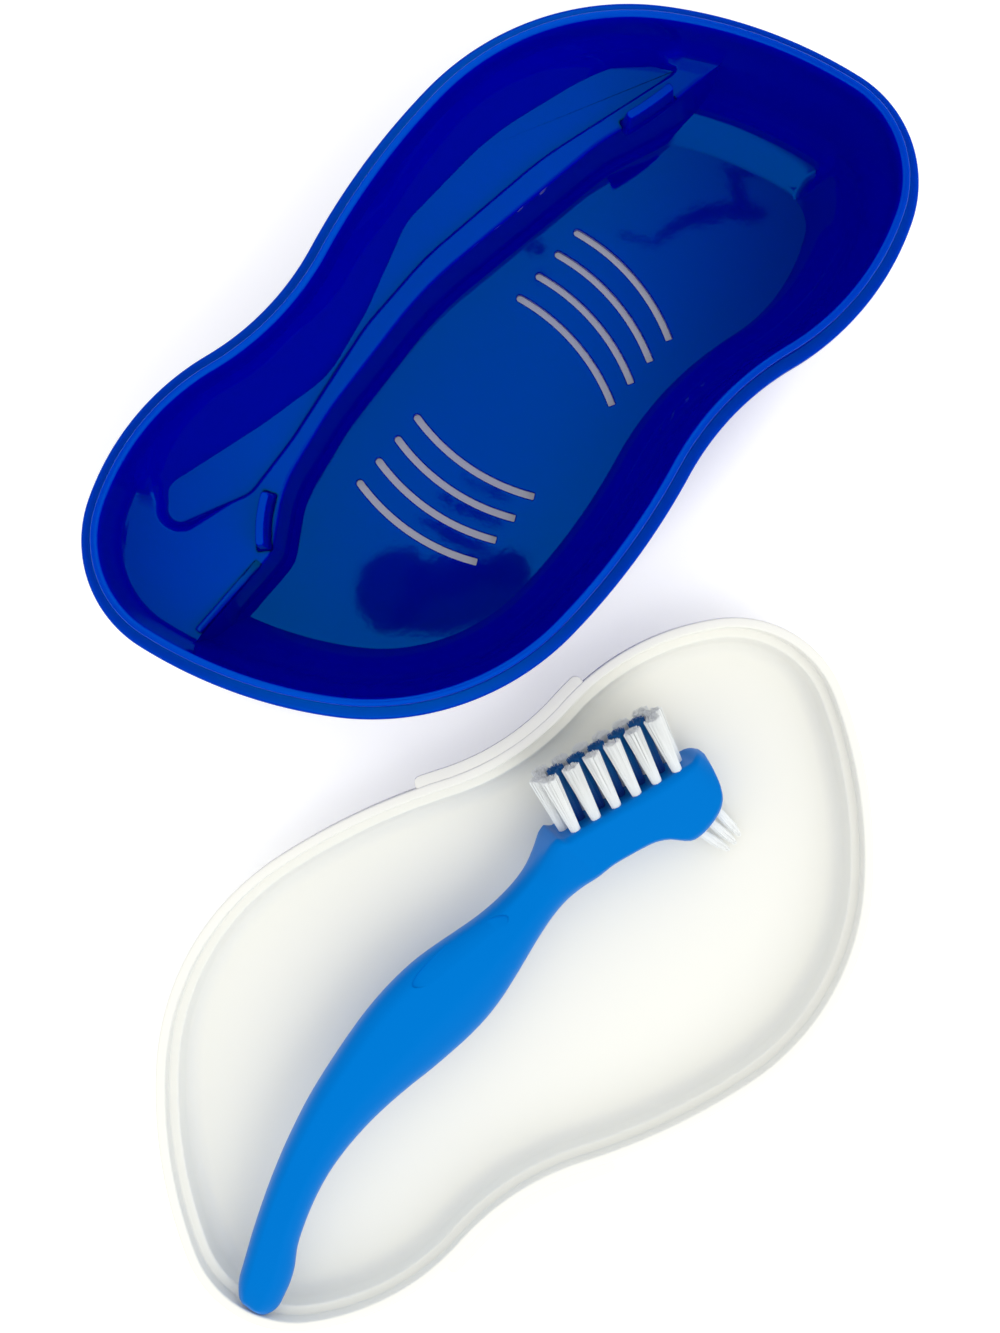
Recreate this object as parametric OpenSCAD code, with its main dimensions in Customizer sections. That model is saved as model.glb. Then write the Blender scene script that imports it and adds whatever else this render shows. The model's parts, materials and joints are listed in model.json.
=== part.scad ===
// Ventilated case for a denture, open, with its lid taken off and lying inside up beside it,
// and the denture brush lying on its side in the lid.
// Millimetres, +Z up. The origin is the middle of the footprint, on the surface the case stands on.

/* [Outline] */
// Radius of the tight corner at each end
corner_r = 24; // [20:0.5:30]
// Sweep of the tight corner, degrees
corner_sweep = 77; // [70:1:84]
// Radius of the shoulder between the corner and the waist
shoulder_r = 52; // [46:0.5:60]
// Sweep of the shoulder, degrees
shoulder_sweep = 40.5; // [36:0.5:44]
// Radius of the hollow waist
waist_r = 54; // [46:0.5:64]
// Sweep of the waist, degrees
waist_sweep = 31; // [26:0.5:36]
// Radius of the long flank after the waist
flank_r = 140; // [110:1:180]
// Sweep of the flank, degrees
flank_sweep = 15.5; // [12:0.5:18]
// Radius of the belly, the broad side of each lobe
belly_r = 54; // [48:0.5:60]
// Sweep of the belly, degrees
belly_sweep = 54; // [50:1:58]
// Radius of the brow, between the belly and the next corner
brow_r = 95; // [80:1:110]

/* [Tray shell] */
// Height of the tray over its feet
tray_h = 38; // [34:0.5:44]
// Wall thickness of the tray
wall_t = 1.8; // [1.4:0.1:2.2]
// Lean of the tray's walls from upright, degrees
tray_draft = 6; // [3:0.5:8]
// Inside radius between the tray's wall and its floor
floor_fillet = 9; // [6:0.5:10]
// Height of the feet under the floor
foot_h = 1.2; // [0.8:0.1:2]
// Diameter of each foot
foot_d = 8; // [5:0.5:10]

/* [Rim] */
// Width of the ledge that the lid stands on
seat_w = 2.6; // [2.2:0.1:3.2]
// Width of the raised lip inside that ledge
lip_w = 1.4; // [1.2:0.1:1.8]
// Height of the lip over the ledge
lip_h = 4; // [3:0.1:5]
// Thickness of the ledge
seat_t = 1.4; // [1:0.1:1.8]
// How far the ledge's outer edge turns down
edge_drop = 1.8; // [1:0.1:2.4]
// Thickness of that turned edge
edge_t = 1.2; // [1:0.1:1.4]

/* [Brush shelf] */
// Height of the shelf over the table
shelf_z = 24; // [21:0.5:26]
// Depth of the trough for the brush in the shelf
trough_depth = 2; // [1:0.1:3]
// Inside radius between the tray's wall and the shelf
shelf_fillet = 3; // [2:0.25:4]
// Height of the two clips that keep the brush on the shelf
clip_h = 7; // [4:0.5:9]
// Thickness of a clip at its top
clip_t = 1.6; // [1.2:0.1:2]
// Length of a clip
clip_len = 10.4; // [8:0.2:13]
// Lean of a clip's sides, degrees
clip_draft = 4; // [2:0.5:6]
// Height of the wedge-shaped kerb at the shelf's end
kerb_h = 1.8; // [1:0.1:2.5]
// Length of the kerb
kerb_len = 18; // [12:0.5:22]
// Thickness of the kerb
kerb_t = 1.4; // [1:0.1:2]

/* [Drain slots] */
// Slots in each of the two groups
slot_count = 4; // [2:1:5]
// Width of a slot
slot_w = 1.5; // [1:0.1:2]
// Distance between neighbouring slots
slot_pitch = 6; // [5:0.1:6.6]
// Radius of a slot's bend
slot_bend = 43; // [38:0.5:55]
// Length of a slot
slot_len = 30; // [24:0.5:33]

/* [Lid] */
// Height of the lid
lid_h = 12.5; // [10:0.5:16]
// Wall thickness of the lid
lid_t = 1.5; // [1.2:0.1:1.8]
// Lean of the lid's wall from upright, degrees
lid_draft = 9; // [5:0.5:12]
// Inside radius between the lid's wall and its top
lid_fillet = 3.5; // [2:0.25:5]
// Space between the lid's skirt and the tray's lip
skirt_gap = 0.35; // [0.25:0.05:0.6]
// How far the lid's edge stands inside the tray's ledge
lid_inset = 0.2; // [0:0.05:0.5]
// How far a thumb tab stands out at the waist
tab_out = 2; // [1:0.1:3]
// Length of a thumb tab
tab_len = 41; // [34:0.5:46]
// Thickness of a thumb tab
tab_t = 1.6; // [1.2:0.1:2]

/* [Brush] */
// Distance from the tail to the start of the head's bristle face
face_x = 113.6; // [110:0.2:117]
// Height of that point over the tail's axis
face_y = 17.6; // [17:0.1:18.4]
// Length of the bristle face
face_len = 31; // [30:0.2:33]
// Slant of the bristle face against the handle, degrees
face_slant = -21.3; // [-23:0.1:-19]
// Thickness of the head
head_t = 12; // [11.4:0.1:14]
// Fullness of the handle, as a share of its drawn thickness
handle_fill = 1; // [0.9:0.01:1.1]
// Fall of the handle's flat sides from the ridge between them, as a share of its thickness
ridge_fall = 0.34; // [0.2:0.02:0.4]
// Depth of the thumb rest on the edge of the handle
thumb_depth = 0.3; // [0.2:0.05:0.6]
// Length of the thumb rest
thumb_len = 23.6; // [16:0.4:26]

/* [Bristles] */
// Diameter of a tuft where it enters the head
tuft_d = 2; // [1.6:0.1:2.2]
// Space round a tuft in its hole
tuft_gap = 0.1; // [0.06:0.01:0.15]
// Depth of a tuft's hole
hole_depth = 3.6; // [3:0.1:4]
// Distance between neighbouring tufts in a row
tuft_pitch = 4.8; // [4.6:0.05:5]
// Distance between neighbouring rows
row_pitch = 3.6; // [3.5:0.05:3.8]
// Length of the bristles over the face
bristle_len = 12.5; // [10:0.25:15]
// Length of the toe tufts over the head
toe_len = 10.5; // [8:0.25:13]
// Spread of a tuft at its tips, as a share of its width at the head
tuft_spread = 1.8; // [1.4:0.05:1.9]
// Thickness of the metal plate that anchors a tuft
anchor_t = 0.3; // [0.2:0.05:0.4]

/* [Arrangement] */
// Turn of the tray on the table, degrees
tray_turn = 42; // [38:1:46]
// Turn of the lid on the table, degrees
lid_turn = 37; // [34:1:41]
// Distance between the tray's middle and the lid's, across the table
apart = 121.4; // [118:0.2:130]
// Shift of the lid's middle to the right
lid_shift = 3; // [0:0.5:6]
// Turn of the brush on the table, degrees
brush_turn = 50; // [47:1:53]
// Roll of the brush on its side, bristles up, degrees
brush_roll = 20; // [16:1:22]
// Clearance between pieces that rest on each other
rest_gap = 0.3; // [0.2:0.05:0.5]

/* [Hidden] */
$fn = 72;
bite = 0.4;

// Unit vector to the left of a heading
function left(h) = [-sin(h), cos(h)];

// The outline is a chain of arcs that run on smoothly. Half of it is listed here as
// [radius, sweep], a hollow arc with a negative radius, and the other half is the same
// chain turned half round. The last sweep closes it, so that any radius may change.
outline_heading = -74;
brow_sweep = 180 - belly_sweep - flank_sweep + waist_sweep - shoulder_sweep - corner_sweep;
half_chain = [
    [brow_r, brow_sweep], [belly_r, belly_sweep], [flank_r, flank_sweep],
    [-waist_r, waist_sweep], [shoulder_r, shoulder_sweep], [corner_r, corner_sweep]
];
function arc_centre(state, a) = state[0] + a[0] * left(state[1]);
function after_arc(state, a) =
    let (h = state[1] + sign(a[0]) * a[1])
    [arc_centre(state, a) - a[0] * left(h), h];
function state(i) = i == 0 ? [[0, 0], outline_heading] : after_arc(state(i - 1), half_chain[i - 1]);
half_span = state(6)[0] / 2;

// The shelf, trough, clips, slots and feet are drawn for a tray whose half chain spans
// 176.808, and grow with it
plan = norm(state(6)[0]) / 176.808;

// Each arc as [centre, signed radius, heading at its start, sweep]
half_arcs = [
    for (i = [0:5])
        [arc_centre(state(i), half_chain[i]) - half_span, half_chain[i][0], state(i)[1], half_chain[i][1]]
];
arcs = [
    for (i = [0:11])
        let (a = half_arcs[i % 6])
        i < 6 ? a : [-a[0], a[1], a[2] + 180, a[3]]
];
flank = 2;
waist = 3;
shoulder = 4;

// Part of an arc, between two angles along it
function part_of(a, from, to) = [a[0], a[1], a[2] + sign(a[1]) * from, to - from];

// Points of one arc, set in from the outline by d, close enough to keep it round
facet_sag = 0.12;
function arc_points(a, d) =
    let (n = ceil(a[3] / (2 * acos(1 - facet_sag / abs(a[1])))))
    [for (k = [0:n - 1]) a[0] - (a[1] - d) * left(a[2] + sign(a[1]) * a[3] * k / n)];
function outline_points(d) = [for (a = arcs) each arc_points(a, d)];

// Solid between loops of the outline, listed as [distance in, height], from the loop
// round its lowest face, over the outside, to the loop round its highest face
module stack(loops) {
    n = len(outline_points(0));
    m = len(loops);
    points = [for (l = loops) for (p = outline_points(l[0])) [p[0], p[1], l[1]]];
    skin = [
        for (i = [0:m - 2])
            for (k = [0:n - 1])
                let (a = i * n + k, b = i * n + (k + 1) % n)
                each [[a, a + n, b + n], [a, b + n, b]]
    ];
    low = [for (k = [0:n - 1]) k];
    high = [for (k = [n - 1:-1:0]) (m - 1) * n + k];
    polyhedron(points, concat([low, high], skin));
}

// Points on a circle round c, between two angles
function round_points(c, r, a0, a1, n = 8) =
    [for (k = [0:n]) let (a = a0 + (a1 - a0) * k / n) c + r * [cos(a), sin(a)]];

// A closed outline of [x, y, radius] corners, each rounded by its radius
function unit(v) = v / norm(v);
function rounded(path, n = 7) = [
    for (i = [0:len(path) - 1])
        let (
            m = len(path),
            p = [path[i][0], path[i][1]],
            q0 = path[(i + m - 1) % m],
            q1 = path[(i + 1) % m],
            u = unit([q0[0], q0[1]] - p),
            w = unit([q1[0], q1[1]] - p),
            inner = acos(max(-1, min(1, u * w))),
            reach = path[i][2] / tan(inner / 2),
            c = p + unit(u + w) * path[i][2] / sin(inner / 2),
            first = p + reach * u - c,
            a0 = atan2(first[1], first[0]),
            turn = sign(u[0] * w[1] - u[1] * w[0]) * (180 - inner)
        )
        each path[i][2] == 0 ? [p] : [for (k = [0:n]) c + path[i][2] * [cos(a0 - turn * k / n), sin(a0 - turn * k / n)]]
];

// Tray. Its wall is a line that leans in from the lip, and runs on into the floor
// round a fillet, with an even thickness.
lip_d = seat_w + lip_w;
seat_z = tray_h - lip_h;
floor_z = foot_h + wall_t;
function wall_in(z) = lip_d + (tray_h - z) * tan(tray_draft);
function wall_out(z) = wall_in(z) - wall_t / cos(tray_draft);
function bowl_centre(z, r) = [wall_in(z + r) + r / cos(tray_draft), z + r];

// Below this height the wall of the deep side and that of the shelf part company
part_z = seat_z - seat_t - edge_drop;
rim_z = part_z - 3;

// The whole tray as if it were solid, from its underside to its lip
tray_outside = concat(
    round_points(bowl_centre(floor_z, floor_fillet), floor_fillet + wall_t, 270, 180 + tray_draft),
    [
        [wall_out(seat_z - seat_t), seat_z - seat_t],
        [edge_t, seat_z - seat_t], [edge_t, part_z],
        [bite, part_z], [0, part_z + bite],
        [0, seat_z - bite], [bite, seat_z],
        [seat_w, seat_z], [seat_w, tray_h - bite], [seat_w + bite, tray_h]
    ]
);

// Its hollow beside the lip, and the hollows below that over the floor and over the shelf,
// each a hair narrower than the one above it
hair = 0.05;
rim_hollow = [
    [wall_in(rim_z) - hair, rim_z],
    [wall_in(tray_h - bite) - hair, tray_h - bite], [lip_d - bite - hair, tray_h + hair],
    [lip_d - bite - hair, tray_h + 1]
];
function hollow(z, r, narrow) = concat(
    round_points(bowl_centre(z, r) + [narrow, 0], r, 270, 180 + tray_draft),
    [[wall_in(rim_z + 0.5) + narrow, rim_z + 0.5]]
);

// What is taken away under the shelf, up to its underside
shelf_round = bowl_centre(shelf_z, shelf_fillet);
shelf_under = concat(
    [[-1, 0], [-1, shelf_round[1] + 0.8], [wall_out(shelf_round[1] + 0.8) - 0.8, shelf_round[1] + 0.8]],
    round_points(shelf_round, shelf_fillet + wall_t, 205, 270, 4)
);

// Edge of the shelf, from the right end of the tray to the left, as [x, y, radius]
far = 130;
shelf_edge = plan * [
    [far, 12.5, 0], [60, 16.4, 30], [46, 20, 40], [0, 22, 80],
    [-30, 16.6, 60], [-47, 11.5, 25], [-57.5, 3.2, 6], [-far, -6, 0]
];
function moved_edge(by) = [for (p = shelf_edge) [p[0] + by[0], p[1] + by[1], p[2]]];
function deep_side(by) = rounded(concat(moved_edge(by), [[-far - 1, -far, 0], [far - 1, -far, 0]]));
function shelf_side(by) = rounded(concat(moved_edge(by), [[-far, far, 0], [far, far, 0]]));
divider = [-wall_t / 3, wall_t];

module prism(outline, z0, z1) {
    translate([0, 0, z0])
        linear_extrude(z1 - z0)
            polygon(outline);
}

trough = rounded(plan * [
    [68, 20, 3], [34, 25.6, 80], [4, 26.4, 60], [-14, 24.2, 40], [-40, 17.2, 60], [-53, 14.8, 6],
    [-71, 20.8, 3], [-64, 27.2, 4], [-42, 23.6, 40], [-26, 22, 20], [-12, 26.4, 20],
    [6, 34.4, 14], [30, 36, 60], [52, 31.8, 50], [67, 25.5, 3]
]);

// A curved upright fin with leaning sides, as wide as clip_t at its top
module clip(centre, bend, middle) {
    sweep = clip_len / (plan * bend) * 180 / PI;
    half = clip_t / 2;
    foot = half + (clip_h + bite) * tan(clip_draft);
    translate([plan * centre[0], plan * centre[1], shelf_z - bite])
        rotate([0, 0, middle - sweep / 2])
            rotate_extrude(angle = sweep)
                translate([plan * bend, 0])
                    polygon([
                        [-foot, 0], [foot, 0],
                        [half + 0.1, clip_h + bite - 0.5], [half - 0.4, clip_h + bite],
                        [0.4 - half, clip_h + bite], [-half - 0.1, clip_h + bite - 0.5]
                    ]);
}

module kerb() {
    translate([-61 * plan, 3.6 * plan, shelf_z - bite])
        rotate([0, 0, 187])
            translate([0, kerb_t / 2, 0])
                rotate([90, 0, 0])
                    linear_extrude(kerb_t)
                        polygon([[0, 0], [kerb_len, 0], [kerb_len, bite + kerb_h], [0, bite]]);
}

// A bent slot through the floor, round at its end by the shelf
module slot(centre, end, way) {
    sweep = slot_len / slot_bend * 180 / PI;
    translate([plan * centre[0], plan * centre[1], -1]) {
        rotate([0, 0, way > 0 ? end : end - sweep])
            rotate_extrude(angle = sweep)
                translate([slot_bend - slot_w / 2, 0])
                    square([slot_w, floor_z + 3]);
        rotate([0, 0, end])
            translate([slot_bend, 0, 0])
                cylinder(h = floor_z + 3, d = slot_w, $fn = 24);
    }
}

module slots() {
    for (k = [0:slot_count - 1]) {
        slot([-7.5, -1] - k * slot_pitch * [1, 0.12], 18.7, -1);
        slot([25.4, 2] - k * slot_pitch * [1, 0.12], 174, 1);
    }
}

feet = plan * [[-50, 4], [-42, -25], [46, 9], [60, -13]];

// The shell between its underside and its lip, at its full height over the feet
module tray_shell() {
    resize([0, 0, tray_h - foot_h])
        difference() {
            stack(tray_outside);
            stack(rim_hollow);
            intersection() {
                stack(hollow(floor_z, floor_fillet, 0));
                prism(deep_side([0, 0]), 0, tray_h);
            }
            intersection() {
                stack(hollow(shelf_z, shelf_fillet, hair));
                prism(shelf_side([0, -1]), 0, tray_h);
            }
            difference() {
                intersection() {
                    stack(shelf_under);
                    prism(shelf_side(divider), -1, tray_h);
                }
                translate([0, 0, shelf_z - trough_depth - wall_t])
                    linear_extrude(trough_depth + wall_t)
                        offset(r = wall_t)
                            polygon(trough);
            }
            prism(trough, shelf_z - trough_depth, shelf_z + 2);
        }
}

module tray_own() {
    difference() {
        tray_shell();
        slots();
    }
    for (p = feet)
        translate([p[0], p[1], 0])
            cylinder(h = foot_h + bite, d = foot_d);
    clip([63, 77.8], 60, 263);
    clip([-35.8, -11.9], 28, 132.2);
    kerb();
}

// Lid. Drawn the way it stands on the tray, with the edge of its skirt on the tray's ledge.
skirt_d = seat_w - skirt_gap;
shoulder_in = lip_h + skirt_gap;
shoulder_out = shoulder_in + lid_t;
function lid_in(z) = lip_d + 0.2 + (z - shoulder_in) * tan(lid_draft);
function lid_out(z) = lid_in(z) - lid_t / cos(lid_draft);
lid_top = lid_h - lid_t;
lid_round_z = lid_top - lid_fillet;
lid_round = [lid_in(lid_round_z) + lid_fillet / cos(lid_draft), lid_round_z];
lid_loops = concat(
    round_points(lid_round, lid_fillet, 90, 180 - lid_draft, 6),
    [[lid_in(shoulder_in), shoulder_in], [skirt_d, shoulder_in]],
    [[skirt_d, bite], [skirt_d - bite, 0], [lid_inset + bite, 0], [lid_inset, bite]],
    [[lid_inset + 0.6, shoulder_out - 0.8], [lid_inset + 1.4, shoulder_out]],
    [[lid_out(shoulder_out), shoulder_out]],
    round_points(lid_round, lid_fillet + lid_t, 180 - lid_draft, 90, 6)
);

module lid_own() {
    stack(lid_loops);
    waist_len = waist_r * waist_sweep * PI / 180;
    more = max(1, (tab_len - waist_len) / 2) * 180 / PI;
    for (i = [0, 6]) {
        run = [
            part_of(arcs[i + flank], flank_sweep - more / flank_r, flank_sweep),
            arcs[i + waist],
            part_of(arcs[i + shoulder], 0, more / shoulder_r)
        ];
        outer = [for (a = run) each arc_points(a, -tab_out)];
        inner = [for (a = run) each arc_points(a, 1)];
        n = len(outer) - 1;
        translate([0, 0, 0.2])
            linear_extrude(tab_t)
                polygon(concat(outer, [for (k = [n:-1:0]) inner[k]]));
    }
}

// Brush, drawn along X from its tail, with its bristles toward +Y, and rolled over when
// it is laid down. Each station is [x, edge on the back, edge on the bristle side,
// half thickness, share of boxiness]. They are drawn for a bristle face that starts at
// drawn_x, and the handle grows and the head moves where it starts elsewhere.
drawn_x = 113.6;
function along_brush(x) = x < drawn_x ? x * face_x / drawn_x : x + face_x - drawn_x;
stations = [
    [-1.2, 0.4, 4.6, 1.2, 0], [-0.8, -0.6, 5.4, 2.2, 0], [0, -1.4, 6.2, 2.9, 0], [1.5, -2.1, 7.4, 3.3, 0],
    [3, -2.2, 8.3, 3.5, 0], [5, -1.7, 9.2, 3.6, 0], [8, -0.8, 10.6, 3.6, 0], [11, 0.6, 12, 3.7, 0],
    [15, 3.2, 13.7, 3.8, 0], [20, 5.4, 15.7, 4, 0], [25, 7.1, 17.5, 4.2, 0], [30, 8.3, 19.1, 4.4, 0],
    [35, 8.9, 20.5, 4.6, 0], [40, 9, 21.7, 4.8, 0], [45, 8.7, 22.6, 4.9, 0], [50, 8, 23.3, 5, 0],
    [55, 7, 23.9, 5, 0], [60, 5.8, 24.3, 5, 0], [65, 4.8, 24.4, 5, 0], [70, 4, 24.1, 5, 0],
    [75, 3.6, 23.4, 4.9, 0], [80, 3.8, 22.1, 4.8, 0], [85, 4.5, 20.5, 4.6, 0], [90, 5.4, 19, 4.4, 0],
    [95, 6.3, 18, 4.3, 0], [100, 6.9, 17.6, 4.3, 0], [104, 7, 17.8, 4.6, 0.1], [108, 6.8, 18.5, 5.2, 0.5],
    [111, 6.5, 19.1, 5.7, 0.9], [112.6, 6.3, 19, 6, 1], [113.6, 6.1, 17.6, 6, 1], [116, 5.5, 0, 6, 1],
    [119, 4.3, 0, 6, 1], [122, 3, 0, 6, 1], [125, 1.4, 0, 6, 1], [127, -0.5, 0, 6, 1],
    [128.2, -2.4, 0, 6, 1], [129.2, -4, 0, 6, 1], [130.6, -5, 0, 6, 1], [133, -5.5, 0, 6, 1],
    [136, -5.5, 0, 5.9, 1], [138.5, -5, 0, 5.7, 1], [140.5, -3.8, 0, 5.4, 1], [142, -1.9, 0, 4.9, 1],
    [143.2, 0.1, 6.4, 4.1, 0.8], [144.2, 2.2, 6, 3, 0.5], [144.9, 3.8, 5.2, 1.4, 0]
];
sides = 24;
function on_face(x) = face_y + (x - face_x) * tan(face_slant);
function cross_point(s, a) =
    let (
        x = along_brush(s[0]),
        high = s[2] == 0 ? on_face(x) : s[2],
        middle = (high + s[1]) / 2,
        wide = (high - s[1]) / 2,
        thick = s[3] * (s[4] > 0.5 ? head_t / 12 : handle_fill),
        ridge = 1.02 - ridge_fall * abs(cos(a) + 0.15),
        round_in = [cos(a), sign(sin(a)) * min(pow(abs(sin(a)), 0.8), ridge)],
        boxed = [
            sign(cos(a)) * min(1, 1.13 * pow(abs(cos(a)), 0.55)),
            sign(sin(a)) * min(1, 1.13 * pow(abs(sin(a)), 0.55))
        ],
        p = round_in + s[4] * (boxed - round_in)
    )
    [x, middle + wide * p[0], thick * p[1]];

module handle_solid() {
    n = len(stations);
    last = n - 1;
    points = [for (s = stations) for (k = [0:sides - 1]) cross_point(s, 360 * (k + 0.5) / sides)];
    skin = [
        for (i = [0:n - 2])
            for (k = [0:sides - 1])
                let (a = i * sides + k, b = i * sides + (k + 1) % sides)
                each [[a, b, b + sides], [a, b + sides, a + sides]]
    ];
    tail = [for (k = [1:sides - 2]) [0, k + 1, k]];
    tip = [for (k = [1:sides - 2]) [last * sides, last * sides + k, last * sides + k + 1]];
    polyhedron(points, concat(skin, tail, tip));
}

// Frames on the bristle face and on the back of the toe, with +Z out of the head
module on_bristle_face(along, row) {
    translate([face_x + along * cos(face_slant), face_y + along * sin(face_slant), row])
        rotate([0, 0, face_slant])
            rotate([-90, 0, 0])
                children();
}

module on_toe(i) {
    translate([along_brush(toe_spots[i][0]), toe_spots[i][1], 0])
        rotate([0, 0, toe_spots[i][2]])
            rotate([90, 0, 0])
                children();
}

// Where the toe tufts come out, as [x, y, lean]
toe_spots = [[132, -5.1, 7], [135.2, -5.3, 0], [138.2, -4.9, -7]];
outer_spots = [for (k = [0:5]) face_len / 2 + (k - 2.62) * tuft_pitch];
centre_spots = [for (k = [0:4]) face_len / 2 + (k - 2.12) * tuft_pitch];
end_spots = [face_len / 2 - 2.95 * tuft_pitch, face_len / 2 + 2.7 * tuft_pitch];
hole_d = tuft_d + 2 * tuft_gap;
toe_d = tuft_d - 0.6;
toe_hole = hole_d - 0.6;
toe_deep = 3;

module hole(d, depth) {
    translate([0, 0, -depth])
        cylinder(h = depth + 4, d = d, $fn = 24);
}

module head_holes() {
    for (a = outer_spots) {
        on_bristle_face(a, row_pitch) hole(hole_d, hole_depth);
        on_bristle_face(a, -row_pitch) hole(hole_d, hole_depth);
    }
    for (a = concat(centre_spots, end_spots))
        on_bristle_face(a, 0) hole(hole_d, hole_depth);
    for (i = [0:2])
        on_toe(i) hole(toe_hole, toe_deep);
}

// The thumb rest is a flat oval, cut where the handle's edge faces up toward the bristles
module thumb_rest() {
    translate([along_brush(82.9), 18.7, 3.3])
        rotate([0, 0, -15.2])
            rotate([-29, 0, 0])
                translate([0, 0, -thumb_depth])
                    linear_extrude(4)
                        polygon([for (a = [0:10:350]) [thumb_len / 2 * cos(a), 2.6 * sin(a)]]);
}

module brush_own() {
    difference() {
        handle_solid();
        head_holes();
        thumb_rest();
    }
}

// One bristle, a slim three-sided spike from its place in the tuft to its place at the tip
module strand(from, to, turn) {
    ring = [for (a = [0, 120, 240]) [cos(a + turn), sin(a + turn), 0]];
    points = concat([for (v = ring) from + 0.19 * v], [for (v = ring) to + 0.24 * v]);
    polyhedron(points, [
        [0, 1, 2], [5, 4, 3],
        [0, 3, 1], [1, 3, 4], [1, 4, 2], [2, 4, 5], [2, 5, 0], [0, 5, 3]
    ]);
}

// The anchor is a flat plate across the end of a tuft, with a little air all round it
anchor_h = 1.6;

module anchor(d, depth) {
    translate([-(d - 0.4) / 2, -anchor_t / 2, -depth + 0.3])
        cube([d - 0.4, anchor_t, anchor_h]);
}

// A tuft is a plug in its hole with its bristles standing out of the plug's top
module tuft(d, depth, reach, spread) {
    up = 0.2;
    difference() {
        translate([0, 0, -depth])
            cylinder(h = depth + up, d = d, $fn = 24);
        translate([-d, -anchor_t / 2 - 0.05, -depth + 0.25])
            cube([2 * d, anchor_t + 0.1, anchor_h + 0.1]);
    }
    pitch = (d / 2 - 0.24) / 2;
    spots = concat(
        [[0, 0]],
        [for (k = [0:5]) pitch * [cos(60 * k), sin(60 * k)]],
        [for (k = [0:11]) 2 * pitch * [cos(30 * k + 15), sin(30 * k + 15)]]
    );
    for (i = [0:18])
        strand(
            [spots[i][0], spots[i][1], up - 0.3],
            [spread * spots[i][0], spread * spots[i][1], reach - (i % 3) * 0.25],
            40 * i
        );
}

module face_tuft(along, row) {
    on_bristle_face(along, row)
        tuft(tuft_d, hole_depth, bristle_len, tuft_spread);
}

module toe_tuft(i) {
    on_toe(i)
        tuft(toe_d, toe_deep, toe_len, 0.75);
}

// The tray stands behind and the lid lies in front, inside up, with the brush in it
function half_deep(turn) =
    let (all = [for (p = outline_points(0)) p[0] * sin(turn) + p[1] * cos(turn)])
    max(all);
front = half_deep(-lid_turn);
back = half_deep(tray_turn);
tray_y = (apart + front - back) / 2;
lid_y = tray_y - apart;

module place_tray() {
    translate([0, tray_y, 0])
        rotate([0, 0, tray_turn])
            children();
}

module place_lid() {
    translate([lid_shift, lid_y, lid_h])
        rotate([0, 0, lid_turn])
            rotate([180, 0, 0])
                children();
}

// The brush's tail leans on the shoulder inside the lid, and the toe of its head lies on the lid
tail_z = lid_h - shoulder_in + 2.05 + rest_gap;
toe_low = 5.5 * sin(brush_roll) + (head_t / 2 - 0.45) * cos(brush_roll);
brush_pitch = asin((lid_t + rest_gap + toe_low - tail_z) / along_brush(133));

module place_brush() {
    translate([lid_shift - 51.7, lid_y - 68.4, tail_z])
        rotate([0, -brush_pitch, brush_turn])
            rotate([brush_roll, 0, 0])
                children();
}

module tray() {
    color("mediumblue")
        place_tray()
            tray_own();
}

module lid() {
    color("ivory")
        place_lid()
            lid_own();
}

module brush_handle() {
    color("dodgerblue")
        place_brush()
            brush_own();
}

module white_tuft(along, row) {
    color("white")
        place_brush()
            face_tuft(along, row);
}

module blue_tuft(along) {
    color("royalblue")
        place_brush()
            face_tuft(along, 0);
}

module toe(i) {
    color("white")
        place_brush()
            toe_tuft(i);
}

module upper_tuft_1() {
    white_tuft(outer_spots[0], row_pitch);
}

module upper_tuft_2() {
    white_tuft(outer_spots[1], row_pitch);
}

module upper_tuft_3() {
    white_tuft(outer_spots[2], row_pitch);
}

module upper_tuft_4() {
    white_tuft(outer_spots[3], row_pitch);
}

module upper_tuft_5() {
    white_tuft(outer_spots[4], row_pitch);
}

module upper_tuft_6() {
    white_tuft(outer_spots[5], row_pitch);
}

module centre_tuft_1() {
    blue_tuft(centre_spots[0]);
}

module centre_tuft_2() {
    blue_tuft(centre_spots[1]);
}

module centre_tuft_3() {
    blue_tuft(centre_spots[2]);
}

module centre_tuft_4() {
    blue_tuft(centre_spots[3]);
}

module centre_tuft_5() {
    blue_tuft(centre_spots[4]);
}

module end_tuft_1() {
    white_tuft(end_spots[0], 0);
}

module end_tuft_2() {
    white_tuft(end_spots[1], 0);
}

module lower_tuft_1() {
    white_tuft(outer_spots[0], -row_pitch);
}

module lower_tuft_2() {
    white_tuft(outer_spots[1], -row_pitch);
}

module lower_tuft_3() {
    white_tuft(outer_spots[2], -row_pitch);
}

module lower_tuft_4() {
    white_tuft(outer_spots[3], -row_pitch);
}

module lower_tuft_5() {
    white_tuft(outer_spots[4], -row_pitch);
}

module lower_tuft_6() {
    white_tuft(outer_spots[5], -row_pitch);
}

module toe_tuft_1() {
    toe(0);
}

module toe_tuft_2() {
    toe(1);
}

module toe_tuft_3() {
    toe(2);
}

// Metal plates driven across the holes, each in a slot through its tuft's end
module tuft_anchors() {
    color("silver")
        place_brush() {
            for (a = outer_spots) {
                on_bristle_face(a, row_pitch) anchor(tuft_d, hole_depth);
                on_bristle_face(a, -row_pitch) anchor(tuft_d, hole_depth);
            }
            for (a = concat(centre_spots, end_spots))
                on_bristle_face(a, 0) anchor(tuft_d, hole_depth);
            for (i = [0:2])
                on_toe(i) anchor(toe_d, toe_deep);
        }
}

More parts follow.
